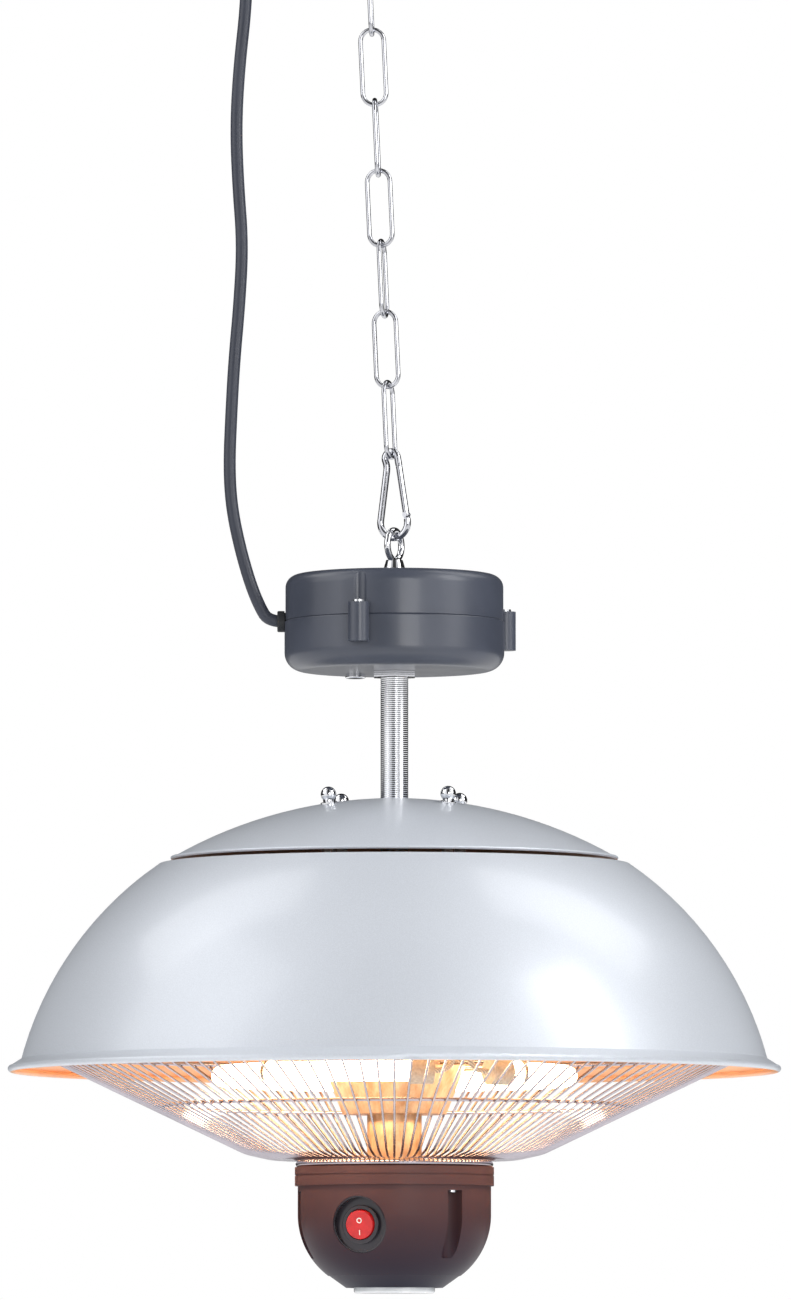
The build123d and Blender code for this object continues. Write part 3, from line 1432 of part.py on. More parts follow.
# Mains cable: the free stretch from inside the gland up to the coil
route = [gland_side.origin - Vector(inner_start_r, 0, 0)]
route += [Vector(axis_x + x, y, rim_z + h) for x, y, h in cable_route]
route.append(coil_run @ 0 - Vector(0, 0, cord_joint_gap))
with BuildPart() as mains_cable:
    with BuildLine() as cable_path:
        cord_line(route)
    with BuildSketch(Plane(origin=route[0], z_dir=(-1, 0, 0))):
        Circle(cable_d / 2)
    sweep(path=cable_path.wires()[0])
save(mains_cable.part, "mains_cable")
cable_section = math.pi * cable_d**2 / 4
print("cable length", cable_path.wires()[0].length, mains_cable.part.volume / cable_section)
print("coil by volume", cable_coil.part.volume / cable_section)
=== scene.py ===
"""Looks of the hanging patio heater: cord, grille, thread, switch marks, finishes and the studio."""

import json
import math

import bmesh
import bpy
from mathutils import Matrix, Vector


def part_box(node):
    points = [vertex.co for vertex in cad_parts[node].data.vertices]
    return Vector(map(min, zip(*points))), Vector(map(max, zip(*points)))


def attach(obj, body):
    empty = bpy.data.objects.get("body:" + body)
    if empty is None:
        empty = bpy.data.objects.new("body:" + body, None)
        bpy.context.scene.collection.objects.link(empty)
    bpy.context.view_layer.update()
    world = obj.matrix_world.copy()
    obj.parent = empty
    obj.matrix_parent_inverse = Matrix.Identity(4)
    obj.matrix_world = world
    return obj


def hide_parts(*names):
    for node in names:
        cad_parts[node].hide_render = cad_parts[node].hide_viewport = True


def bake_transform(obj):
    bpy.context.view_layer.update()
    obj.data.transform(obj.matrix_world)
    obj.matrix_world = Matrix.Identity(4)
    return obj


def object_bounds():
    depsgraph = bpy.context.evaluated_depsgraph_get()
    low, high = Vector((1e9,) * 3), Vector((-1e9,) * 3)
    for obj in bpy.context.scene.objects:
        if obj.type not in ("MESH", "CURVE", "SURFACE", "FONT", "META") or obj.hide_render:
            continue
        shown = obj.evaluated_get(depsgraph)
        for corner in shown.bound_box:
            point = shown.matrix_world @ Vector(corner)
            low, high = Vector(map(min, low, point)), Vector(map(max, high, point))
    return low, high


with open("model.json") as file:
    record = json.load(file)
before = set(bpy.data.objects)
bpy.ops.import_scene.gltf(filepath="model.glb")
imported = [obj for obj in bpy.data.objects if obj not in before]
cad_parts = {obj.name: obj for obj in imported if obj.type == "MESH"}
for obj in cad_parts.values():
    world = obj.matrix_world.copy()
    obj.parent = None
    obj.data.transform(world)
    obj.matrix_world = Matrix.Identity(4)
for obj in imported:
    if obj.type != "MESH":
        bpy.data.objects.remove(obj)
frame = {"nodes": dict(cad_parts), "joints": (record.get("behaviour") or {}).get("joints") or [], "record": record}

bl_info = {
    "name": "Hanging Patio Heater",
    "version": (1, 0, 0),
    "blender": (4, 5, 0),
    "location": "View3D > Sidebar > Heater",
    "description": "Dresses the packed heater and sets up its studio",
    "category": "Object",
}

MM = 0.001

# Radius of the bead round the dome's rim, whose middle is the plane that heights start from
RIM_BEAD = 1.9


def tint(red, green, blue):
    """Colour as a paint chart writes it, 0 to 255, turned into Blender's linear values."""
    shares = [value / 255 for value in (red, green, blue)]
    return tuple(s / 12.92 if s <= 0.04045 else ((s + 0.055) / 1.055) ** 2.4 for s in shares)


# Places worked out from the frame, in metres
foot_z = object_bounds()[0][2]
dome_low, dome_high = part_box("dome_shell")
heater_x = (dome_low.x + dome_high.x) / 2
rim_z = dome_low.z + RIM_BEAD * MM
joints = {joint["name"]: joint for joint in frame["joints"]}


def at_heater(x, y, height):
    """Place from the heater's axis and the rim's plane, in millimetres."""
    return Vector((heater_x + x * MM, y * MM, rim_z + height * MM))


class HeaterSettings(bpy.types.PropertyGroup):
    """Sizes and colours of the heater's dressing."""

    cord_thick: bpy.props.FloatProperty(
        name="Cord thickness", description="Outside diameter of the mains cord", default=6.7 * MM,
        unit="LENGTH", subtype="DISTANCE",
    )
    cord_sides: bpy.props.IntProperty(
        name="Cord sides", description="Faces round the cord", default=16, min=8, max=32,
    )
    wire_count: bpy.props.IntProperty(
        name="Grille wires", description="How many wires the grille has", default=120, min=12, max=240,
    )
    wire_thick: bpy.props.FloatProperty(
        name="Grille wire thickness", description="Diameter of one grille wire", default=1.3 * MM,
        unit="LENGTH", subtype="DISTANCE",
    )
    thread_pitch: bpy.props.FloatProperty(
        name="Thread pitch", description="Rise of the tube's thread in one turn", default=1.1 * MM,
        unit="LENGTH", subtype="DISTANCE",
    )
    thread_depth: bpy.props.FloatProperty(
        name="Thread depth", description="Depth of the tube's thread", default=0.22 * MM,
        unit="LENGTH", subtype="DISTANCE",
    )
    silver: bpy.props.FloatVectorProperty(
        name="Silver paint", description="Paint of the dome and the cap", default=tint(209, 214, 222),
        subtype="COLOR", min=0, max=1,
    )
    box_grey: bpy.props.FloatVectorProperty(
        name="Box plastic", description="Plastic of the junction box", default=tint(65, 70, 83),
        subtype="COLOR", min=0, max=1,
    )
    cord_grey: bpy.props.FloatVectorProperty(
        name="Cord jacket", description="Rubber of the cord and the plug", default=tint(52, 56, 68),
        subtype="COLOR", min=0, max=1,
    )
    # Top colour of the cup: brown plastic with painted lamp glow in it
    cup_brown_and_painted_glow: bpy.props.FloatVectorProperty(
        name="Cup plastic", description="Plastic of the switch cup", default=tint(98, 70, 68),
        subtype="COLOR", min=0, max=1,
    )
    rocker_red: bpy.props.FloatVectorProperty(
        name="Rocker red", description="Plastic of the switch's rocker", default=tint(198, 24, 28),
        subtype="COLOR", min=0, max=1,
    )
    glow: bpy.props.FloatVectorProperty(
        name="Lamp glow", description="Colour of the lit lamp", default=(1.0, 0.68, 0.4),
        subtype="COLOR", min=0, max=1,
    )
    glow_strength: bpy.props.FloatProperty(
        name="Glow strength", description="How strongly the lit lamp shines", default=26.0, min=0, max=60,
    )


def settings():
    """The heater's settings in the running scene."""
    return bpy.context.scene.heater_settings


# Node building

def feed(tree, socket, value):
    """Link an output to the socket, or set the socket to a plain value."""
    if isinstance(value, bpy.types.NodeSocket):
        tree.links.new(value, socket)
    else:
        socket.default_value = value


def add_node(tree, kind, inputs=(), **attributes):
    """New node with its attributes set, and its inputs linked to outputs or set to values."""
    node = tree.nodes.new(kind)
    for name, value in attributes.items():
        setattr(node, name, value)
    for name, value in dict(inputs).items():
        feed(tree, node.inputs[name], value)
    return node


def maths(tree, operation, first, second=0.0, third=0.0):
    """One step of arithmetic on outputs and plain numbers."""
    node = add_node(tree, "ShaderNodeMath", operation=operation)
    for socket, value in zip(node.inputs, (first, second, third)):
        feed(tree, socket, value)
    return node.outputs[0]


def start_finish(name):
    """New material with its shader, and the tree that both are in."""
    finish = bpy.data.materials.new(name)
    finish.use_nodes = True
    tree = finish.node_tree
    tree.nodes.clear()
    shader = tree.nodes.new("ShaderNodeBsdfPrincipled")
    add_node(tree, "ShaderNodeOutputMaterial", {"Surface": shader.outputs["BSDF"]})
    return finish, tree, shader


def on_object(tree, stretch=(1.0, 1.0, 1.0)):
    """The piece's own coordinates, stretched."""
    place = tree.nodes.new("ShaderNodeTexCoord")
    mapping = add_node(tree, "ShaderNodeMapping", {"Vector": place.outputs["Object"]})
    mapping.inputs["Scale"].default_value = stretch
    return mapping.outputs["Vector"]


def noise(tree, scale, detail=3.0, stretch=(1.0, 1.0, 1.0), roughness=0.5):
    """Soft random pattern with this many features per metre."""
    texture = add_node(
        tree, "ShaderNodeTexNoise",
        {"Vector": on_object(tree, stretch), "Scale": scale, "Detail": detail, "Roughness": roughness},
    )
    return texture.outputs["Fac"]


def grain(tree, scale):
    """Cell pattern, for the fine grain of moulded plastic and the flakes in paint."""
    texture = add_node(
        tree, "ShaderNodeTexVoronoi", {"Vector": on_object(tree), "Scale": scale}, feature="SMOOTH_F1",
    )
    return texture.outputs["Distance"]


def fit(tree, value, low, high, start=0.3, end=0.7):
    """The pattern's middle stretch turned into values between low and high."""
    return add_node(
        tree, "ShaderNodeMapRange",
        {"Value": value, "From Min": start, "From Max": end, "To Min": low, "To Max": high},
    ).outputs["Result"]


def colour_between(tree, value, first, second):
    """Colour that runs from the first to the second with the value."""
    mix = add_node(tree, "ShaderNodeMix", {0: value}, data_type="RGBA")
    for place, colour in ((6, first), (7, second)):
        plain = not isinstance(colour, bpy.types.NodeSocket)
        feed(tree, mix.inputs[place], (*colour, 1) if plain else colour)
    return mix.outputs[2]


def mottled(tree, pattern, first, second):
    """Colour that runs from the first to the second with a pattern's middle stretch."""
    return colour_between(tree, fit(tree, pattern, 0.0, 1.0), first, second)


def axis_part(tree, vector, axis):
    """One axis's part of a vector."""
    return add_node(tree, "ShaderNodeSeparateXYZ", {"Vector": vector}).outputs[axis]


def vector_step(tree, operation, first, second):
    """Node for one step of arithmetic on vectors."""
    return add_node(tree, "ShaderNodeVectorMath", {0: first, 1: second}, operation=operation)


def shade(colour, share):
    """The colour, darker or lighter."""
    return tuple(min(part * share, 1.0) for part in colour)


def dent(tree, shader, height, strength, distance):
    """Bump from a pattern's height, over any bump that the shader already has."""
    bump = add_node(tree, "ShaderNodeBump", {"Height": height, "Strength": strength, "Distance": distance})
    if shader.inputs["Normal"].is_linked:
        tree.links.new(shader.inputs["Normal"].links[0].from_socket, bump.inputs["Normal"])
    tree.links.new(bump.outputs["Normal"], shader.inputs["Normal"])


def set_inputs(tree, shader, **values):
    """Shader inputs by name, with underscores for spaces."""
    for name, value in values.items():
        feed(tree, shader.inputs[name.replace("_", " ")], value)


# Finishes

def metal_finish(name, colour, rough, worn=0.85, brushed=(1.0, 1.0, 1.0)):
    """Plain metal with faint stains and fine scratches."""
    finish, tree, shader = start_finish(name)
    stains = noise(tree, 35.0)
    scratches = noise(tree, 400.0, 6.0, brushed)
    set_inputs(
        tree, shader,
        Base_Color=mottled(tree, stains, shade(colour, worn), colour),
        Roughness=fit(tree, scratches, rough * 0.75, rough * 1.3),
        Metallic=1.0,
    )
    dent(tree, shader, scratches, 0.05, 0.05 * MM)
    return finish


# Orange of the bare sheet inside the dome: painted lamp glow on the metal
BARE_SHEET_AND_PAINTED_GLOW = (tint(228, 160, 112), tint(240, 186, 142))
PAINT_COAT = 0.35
# How much looking upwards counts towards being outside, for faces that look neither in nor out
UPWARD_SHARE = 0.05


def paint_finish(name, colour):
    """Silver paint with fine flakes and orange peel outside, and inside the bare heated sheet, its orange colour
    painted lamp glow.
    """
    finish, tree, shader = start_finish(name)
    flakes = grain(tree, 2600.0)
    cloud = noise(tree, 9.0)
    peel = noise(tree, 240.0, 2.0)
    flake = fit(tree, flakes, 0.0, 1.0, 0.05, 0.6)
    paint = colour_between(tree, flake, shade(colour, 0.92), shade(colour, 1.06))
    # Inside colour: bare sheet tinted orange with painted lamp glow
    bare_and_painted_glow = mottled(tree, cloud, *BARE_SHEET_AND_PAINTED_GLOW)
    place = tree.nodes.new("ShaderNodeTexCoord")
    from_axis = vector_step(tree, "SUBTRACT", place.outputs["Object"], (heater_x, 0, 0))
    outward = vector_step(tree, "MULTIPLY", from_axis.outputs[0], (1, 1, 0))
    facing = vector_step(tree, "DOT_PRODUCT", place.outputs["Normal"], outward.outputs[0])
    upward = axis_part(tree, place.outputs["Normal"], "Z")
    lean = maths(tree, "MULTIPLY_ADD", upward, UPWARD_SHARE, facing.outputs["Value"])
    outside = maths(tree, "GREATER_THAN", lean, 0.0)
    set_inputs(
        tree, shader, Base_Color=colour_between(tree, outside, bare_and_painted_glow, paint), Metallic=0.25,
        Roughness=fit(tree, cloud, 0.4, 0.46), Coat_Weight=PAINT_COAT, Coat_Roughness=0.12,
    )
    dent(tree, shader, flakes, 0.06, 0.04 * MM)
    dent(tree, shader, peel, 0.1, 0.05 * MM)
    return finish


def moulded_finish(name, colour, rough=0.45, texture=900.0, bump=0.25, coat=0.0, specular=0.5):
    """Moulded plastic or rubber with a fine grain and handling marks."""
    finish, tree, shader = start_finish(name)
    cells = grain(tree, texture)
    rub = noise(tree, 28.0, 5.0)
    base = mottled(tree, rub, shade(colour, 0.88), shade(colour, 1.12))
    set_inputs(
        tree, shader, Base_Color=base, Roughness=fit(tree, rub, rough * 0.85, rough * 1.15),
        Specular_IOR_Level=specular, Coat_Weight=coat, Coat_Roughness=0.15,
    )
    dent(tree, shader, cells, bump, 0.06 * MM)
    return finish


def woven_finish(name, colour):
    """Tape woven from flat threads."""
    finish, tree, shader = start_finish(name)
    wave = add_node(
        tree, "ShaderNodeTexWave",
        {"Vector": on_object(tree, (1.0, 1.0, 1.6)), "Scale": 260.0, "Distortion": 0.4},
        bands_direction="DIAGONAL",
    ).outputs["Fac"]
    base = colour_between(tree, wave, shade(colour, 0.6), shade(colour, 1.5))
    rough = fit(tree, wave, 0.6, 0.85, 0.0, 1.0)
    set_inputs(tree, shader, Base_Color=base, Roughness=rough, Sheen_Weight=0.25)
    dent(tree, shader, wave, 0.5, 0.15 * MM)
    return finish


# Blender's wave texture draws one band along this many metres at a scale of 1
WAVE_BAND = math.pi / 10


def thread_finish(name, colour, pitch):
    """Plated thread with painted shade darkening its valleys."""
    finish, tree, shader = start_finish(name)
    wave = add_node(
        tree, "ShaderNodeTexWave", {"Vector": on_object(tree), "Scale": WAVE_BAND / pitch},
        bands_direction="Z",
    ).outputs["Fac"]
    stains = noise(tree, 60.0)
    # Painted shade: bands along the height, one to a pitch, darken the plating to 0.55 in the thread's valleys
    set_inputs(
        tree, shader,
        Base_Color=colour_between(tree, fit(tree, wave, 0.0, 1.0, 0.1, 0.6), shade(colour, 0.55), colour),
        Metallic=1.0, Roughness=fit(tree, stains, 0.1, 0.18),
    )
    dent(tree, shader, stains, 0.05, 0.05 * MM)
    return finish


def tinted_finish(name, cool, hot, rough):
    """Sheet or tube that heat has tinted, brushed along its height and mottled."""
    finish, tree, shader = start_finish(name)
    blotches = noise(tree, 160.0, 6.0, (1.0, 1.0, 0.4), 0.65)
    brushed = noise(tree, 900.0, 3.0, (1.0, 1.0, 0.05))
    set_inputs(
        tree, shader,
        Base_Color=colour_between(tree, fit(tree, blotches, 0.0, 1.0, 0.35, 0.65), cool, hot),
        Metallic=0.9, Roughness=fit(tree, brushed, rough * 0.8, rough * 1.3),
    )
    dent(tree, shader, blotches, 0.15, 0.1 * MM)
    return finish


def reflector_finish(name):
    """Rolled bright sheet, coloured warm with painted glow from the lamp under it."""
    finish, tree, shader = start_finish(name)
    rings = noise(tree, 60.0, 4.0, (1.0, 1.0, 3.0))
    # Painted lamp glow: the sheet's colour runs warm
    set_inputs(
        tree, shader,
        Base_Color=mottled(tree, rings, tint(226, 196, 160), tint(246, 226, 200)),
        Metallic=0.85, Roughness=fit(tree, rings, 0.22, 0.34),
    )
    dent(tree, shader, rings, 0.1, 0.2 * MM)
    return finish


def lamp_finish(name):
    """Quartz tube with its gold coat, lit from inside."""
    finish, tree, shader = start_finish(name)
    streaks = noise(tree, 120.0, 4.0)
    set_inputs(
        tree, shader,
        Base_Color=mottled(tree, streaks, tint(236, 150, 70), tint(250, 196, 120)),
        Roughness=fit(tree, streaks, 0.05, 0.14), Specular_IOR_Level=0.6,
        Emission_Color=(*settings().glow, 1), Emission_Strength=settings().glow_strength,
    )
    dent(tree, shader, streaks, 0.05, 0.05 * MM)
    return finish


def ceramic_finish(name):
    """Unglazed white ceramic."""
    finish, tree, shader = start_finish(name)
    pores = noise(tree, 700.0, 6.0)
    set_inputs(
        tree, shader,
        Base_Color=mottled(tree, pores, tint(206, 190, 168), tint(238, 228, 208)),
        Roughness=fit(tree, pores, 0.55, 0.75),
    )
    dent(tree, shader, pores, 0.3, 0.1 * MM)
    return finish


def rocker_finish(name):
    """Clear red plastic, a little see-through."""
    finish, tree, shader = start_finish(name)
    depth = noise(tree, 180.0, 3.0)
    red = tuple(settings().rocker_red)
    set_inputs(
        tree, shader,
        Base_Color=mottled(tree, depth, shade(red, 0.82), shade(red, 1.1)),
        Roughness=fit(tree, depth, 0.14, 0.2), Coat_Weight=0.5, Coat_Roughness=0.05,
        Subsurface_Weight=0.2, Subsurface_Scale=1.0, Subsurface_Radius=(1.2 * MM, 0.2 * MM, 0.2 * MM),
    )
    return finish


def lens_finish(name):
    """Milky diffuser."""
    finish, tree, shader = start_finish(name)
    milk = noise(tree, 90.0, 4.0)
    set_inputs(
        tree, shader,
        Base_Color=mottled(tree, milk, tint(224, 228, 232), tint(245, 247, 250)),
        Roughness=fit(tree, milk, 0.22, 0.3), Coat_Weight=0.3, Coat_Roughness=0.08,
        Subsurface_Weight=0.4, Subsurface_Scale=1.0, Subsurface_Radius=(2 * MM, 2 * MM, 2 * MM),
    )
    dent(tree, shader, milk, 0.05, 0.1 * MM)
    return finish


def cup_finish(name):
    """Satin plastic of the switch cup, its brown partly painted lamp glow from above, and painted shade making it
    darker towards its foot.
    """
    finish, tree, shader = start_finish(name)
    brown = tuple(settings().cup_brown_and_painted_glow)
    place = tree.nodes.new("ShaderNodeTexCoord")
    height = axis_part(tree, place.outputs["Object"], "Z")
    cup_foot_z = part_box("cup_bottom_ring")[0].z
    cup_top_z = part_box("cup_collar")[1].z
    rise = fit(tree, height, 0.0, 1.0, cup_foot_z, cup_top_z)
    cells = grain(tree, 1100.0)
    # Painted shade: dark slate at the foot runs up to the top colour, which also carries painted lamp glow
    set_inputs(
        tree, shader,
        Base_Color=colour_between(tree, rise, tint(24, 25, 44), brown),
        Roughness=fit(tree, noise(tree, 40.0, 5.0), 0.34, 0.42), Specular_IOR_Level=0.15,
    )
    dent(tree, shader, cells, 0.15, 0.05 * MM)
    return finish


def board_finish(name):
    """Circuit board with its copper tracks under green lacquer."""
    finish, tree, shader = start_finish(name)
    tracks = add_node(
        tree, "ShaderNodeTexBrick", {"Vector": on_object(tree), "Scale": 180.0, "Mortar Size": 0.08},
    ).outputs["Fac"]
    set_inputs(
        tree, shader, Base_Color=colour_between(tree, tracks, tint(24, 96, 52), tint(60, 140, 80)),
        Roughness=fit(tree, tracks, 0.3, 0.45, 0.0, 1.0),
    )
    dent(tree, shader, tracks, 0.2, 0.05 * MM)
    return finish


def make_finishes():
    """One finish for each material slot of the record."""
    own = settings()
    bright = tint(232, 233, 236)
    return {
        "galvanised": metal_finish("plated_steel", tint(196, 197, 202), 0.14),
        "bright_wire": metal_finish("plated_wire", tint(206, 207, 212), 0.1),
        "strap_nylon": woven_finish("woven_tape", tint(38, 38, 40)),
        "cable_jacket": moulded_finish("cord_jacket", tuple(own.cord_grey), 0.42, 1500.0, 0.12),
        "plug_rubber": moulded_finish("plug_rubber", tuple(own.cord_grey), 0.5, 1200.0, 0.2),
        "brass_pins": metal_finish("plated_brass", tint(222, 206, 170), 0.18),
        "bright_chrome": metal_finish("chrome", bright, 0.07, 0.95),
        "box_grey": moulded_finish("box_plastic", tuple(own.box_grey), 0.38, 1300.0, 0.22, 0.18, 0.6),
        "seal_rubber": moulded_finish("seal_rubber", tint(36, 38, 42), 0.55, 1200.0, 0.2),
        "clamp_plastic": moulded_finish("clamp_plastic", tint(214, 212, 204), 0.4),
        "core_insulation": moulded_finish("core_insulation", tint(120, 82, 48), 0.3, 1400.0, 0.05),
        "zinc_tube": thread_finish("zinc_thread", tint(240, 241, 244), own.thread_pitch),
        "silver_paint": paint_finish("silver_paint", tuple(own.silver)),
        "spacer_metal": metal_finish("plain_tube", tint(198, 194, 190), 0.3, brushed=(1, 1, 0.05)),
        "reflector_metal": reflector_finish("reflector_sheet"),
        "hub_metal": tinted_finish("tinted_sheet", tint(206, 158, 116), tint(240, 210, 172), 0.4),
        "quartz": lamp_finish("lit_quartz"),
        "ceramic_end": ceramic_finish("ceramic"),
        "bracket_wire": metal_finish("spring_wire", tint(196, 186, 174), 0.25),
        "lead_sleeve": woven_finish("glass_sleeve", tint(214, 204, 186)),
        "grille_steel": metal_finish("grille_chrome", tint(186, 180, 188), 0.14, 0.8),
        "cup_grey": cup_finish("cup_plastic"),
        "pocket_plastic": moulded_finish("black_plastic", tint(40, 36, 44), 0.24, 1200.0, 0.08, 0.25, 0.5),
        "rocker_red": rocker_finish("clear_red"),
        "lens_milky": lens_finish("milky_lens"),
        "board_green": board_finish("circuit_board"),
    }


finishes = {}


# Mesh building

def new_piece(name, mesh, slot, body=None, smooth=True):
    """Object for a finished mesh, with its finish, riding on a body if one is named."""
    mesh.materials.clear()
    mesh.materials.append(finishes[slot])
    if smooth:
        mesh.shade_smooth()
    piece = bpy.data.objects.new(name, mesh)
    bpy.context.scene.collection.objects.link(piece)
    if body:
        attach(piece, body)
    return piece


def evaluated_mesh(source):
    """Plain mesh of an object as its modifiers or its curve make it, and the object removed."""
    bpy.context.view_layer.update()
    ready = source.evaluated_get(bpy.context.evaluated_depsgraph_get())
    mesh = bpy.data.meshes.new_from_object(ready)
    bpy.data.objects.remove(source)
    return mesh


def round_tube(name, path, thick, sides):
    """Closed mesh tube of even thickness along a line of points."""
    mesh = bpy.data.meshes.new(name)
    shape = bmesh.new()
    rings = []
    side = None
    for place, point in enumerate(path):
        ahead = path[min(place + 1, len(path) - 1)]
        behind = path[max(place - 1, 0)]
        along = (ahead - behind).normalized()
        side = along.orthogonal() if side is None else side - along * side.dot(along)
        side.normalize()
        other = along.cross(side)
        rings.append([
            shape.verts.new(point + (side * math.cos(turn) + other * math.sin(turn)) * thick / 2)
            for turn in (2 * math.pi * step / sides for step in range(sides))
        ])
    for first, second in zip(rings, rings[1:]):
        for step in range(sides):
            after = (step + 1) % sides
            shape.faces.new((first[step], first[after], second[after], second[step]))
    shape.faces.new(list(reversed(rings[0])))
    shape.faces.new(rings[-1])
    bmesh.ops.recalc_face_normals(shape, faces=shape.faces)
    shape.to_mesh(mesh)
    shape.free()
    return mesh


# Mains cord, its route as the frame's cord solids have it

CABLE_START = (-60.6, 0.0, 246.7)
CABLE_ROUTE = (
    (-69.3, 0.0, 246.7),
    (-74.2, 0.0, 254.6),
    (-79.6, 0.3, 268.0),
    (-85.2, 0.7, 287.5),
    (-89.8, 1.2, 309.5),
    (-91.3, 1.8, 332.0),
    (-90.2, 2.7, 361.0),
    (-88.6, 3.8, 391.0),
    (-85.7, 5.2, 424.0),
    (-84.0, 6.8, 457.0),
    (-86.6, 8.5, 490.0),
    (-87.9, 10.2, 522.5),
    (-86.2, 12.0, 555.5),
    (-82.4, 13.6, 590.0),
    (-82.0, 14.5, 615.0),
    (-83.5, 14.9, 630.0),
)
COIL_X = -19.9
COIL_Y = 18.5
COIL_HEIGHT = 650.0
COIL_OUTER = 46.0
COIL_HALF_TURNS = 5
COIL_CLIMB = 28.0
COIL_STEP = 3.6
POINTS_PER_HALF_TURN = 6
CORD_STEPS = 6
TAIL_BEND = 33.0
PLUG_X = 52.0


def coil_points():
    """Points of the coil: half turns that spiral in, one across to the back layer, and out again."""
    inward = [(COIL_OUTER - step * COIL_STEP, -COIL_STEP, -COIL_STEP) for step in range(COIL_HALF_TURNS)]
    outward = [(radius, COIL_STEP, COIL_STEP) for radius, front, back in reversed(inward[1:])]
    across = (COIL_CLIMB, -COIL_STEP, COIL_STEP)
    half_turns = [*inward, across, *outward, (COIL_OUTER, COIL_STEP, COIL_STEP)]
    part = math.pi / POINTS_PER_HALF_TURN
    reach = 1 / math.cos(part / 2)
    centre = Vector((COIL_X * MM, COIL_Y * MM, rim_z + COIL_HEIGHT * MM))
    points = []
    x = -COIL_OUTER
    way = 1
    for place, (radius, first_y, last_y) in enumerate(half_turns):
        middle = x + way * radius
        count = POINTS_PER_HALF_TURN // 2 if place == len(half_turns) - 1 else POINTS_PER_HALF_TURN
        for step in range(count):
            turn = (step + 1 / 2) * part
            y = first_y + (last_y - first_y) * (1 - math.cos(turn)) / 2
            points.append(centre + Vector((
                middle - way * math.cos(turn) * radius * reach, y, way * math.sin(turn) * radius * reach,
            )) * MM)
        x = middle + way * radius
        way = -way
    return points


def cord_route():
    """Control points of the whole cord, from inside the gland to the plug."""
    points = [at_heater(*place) for place in (CABLE_START, *CABLE_ROUTE)]
    points += coil_points()
    top = rim_z + (COIL_HEIGHT + COIL_OUTER) * MM
    back_y = (COIL_Y + COIL_STEP) * MM
    corner_x = (PLUG_X - TAIL_BEND) * MM
    points.append(Vector((corner_x - TAIL_BEND * MM / 2, back_y, top)))
    part = math.pi / POINTS_PER_HALF_TURN
    for step in range(POINTS_PER_HALF_TURN // 2):
        turn = (step + 1 / 2) * part
        reach = TAIL_BEND * MM / math.cos(part / 2)
        points.append(Vector((
            corner_x + math.sin(turn) * reach, back_y, top - TAIL_BEND * MM + math.cos(turn) * reach,
        )))
    points.append(Vector((PLUG_X * MM, back_y, top - TAIL_BEND * MM)))
    return points


def cord_line():
    """The cord's smooth centre line, as points."""
    curve = bpy.data.curves.new("cord_line", "CURVE")
    curve.dimensions = "3D"
    spline = curve.splines.new("NURBS")
    route = cord_route()
    spline.points.add(len(route) - 1)
    for control, place in zip(spline.points, route):
        control.co = (*place, 1)
    spline.order_u = 3
    spline.use_endpoint_u = True
    spline.resolution_u = CORD_STEPS
    holder = bpy.data.objects.new("cord_line", curve)
    bpy.context.scene.collection.objects.link(holder)
    mesh = evaluated_mesh(holder)
    return [vertex.co.copy() for vertex in mesh.vertices]


class HEATER_OT_cord(bpy.types.Operator):
    """Mains cord from the box's gland up to its coil and on to the plug"""

    bl_idname = "heater.cord"
    bl_label = "Mains Cord"

    def execute(self, context):
        own = settings()
        path = cord_line()
        mesh = round_tube("mains_cord", path, own.cord_thick, own.cord_sides)
        cord = new_piece("mains_cord", mesh, "cable_jacket")
        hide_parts("mains_cable", "cable_coil", "cable_tail")
        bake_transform(cord)
        return {"FINISHED"}


# Grille and thread by geometry nodes

def start_tree(name, inputs):
    """New geometry node tree with named inputs, and its group input and output nodes."""
    tree = bpy.data.node_groups.new(name, "GeometryNodeTree")
    tree.interface.new_socket("Geometry", in_out="OUTPUT", socket_type="NodeSocketGeometry")
    tree.interface.new_socket("Geometry", in_out="INPUT", socket_type="NodeSocketGeometry")
    for label, kind in inputs:
        tree.interface.new_socket(label, in_out="INPUT", socket_type=kind)
    return tree, tree.nodes.new("NodeGroupInput"), tree.nodes.new("NodeGroupOutput")


def grown_mesh(name, data, tree, values):
    """Plain mesh that the tree makes from this object data with these inputs."""
    holder = bpy.data.objects.new(name, data)
    bpy.context.scene.collection.objects.link(holder)
    modifier = holder.modifiers.new("grow", "NODES")
    modifier.node_group = tree
    for item in tree.interface.items_tree:
        if item.in_out == "INPUT" and item.name in values:
            modifier[item.identifier] = values[item.name]
    mesh = evaluated_mesh(holder)
    mesh.name = name
    return mesh


def finish_tree(tree, geometry, material, output):
    """Turn copies into real geometry and give it the material, at the tree's end."""
    real = add_node(tree, "GeometryNodeRealizeInstances", {"Geometry": geometry})
    dressed = add_node(tree, "GeometryNodeSetMaterial", {"Geometry": real.outputs[0], "Material": material})
    tree.links.new(dressed.outputs[0], output.inputs[0])


# One wire's line as radii and heights, from the dome's rim to the cup
WIRE_LINE = ((191.0, 5.9), (82.0, -46.3), (68.0, -49.4), (51.3, -49.85))
WIRE_BEND = 25.0
WIRE_BEND_STEPS = 4
WIRE_SIDES = 8


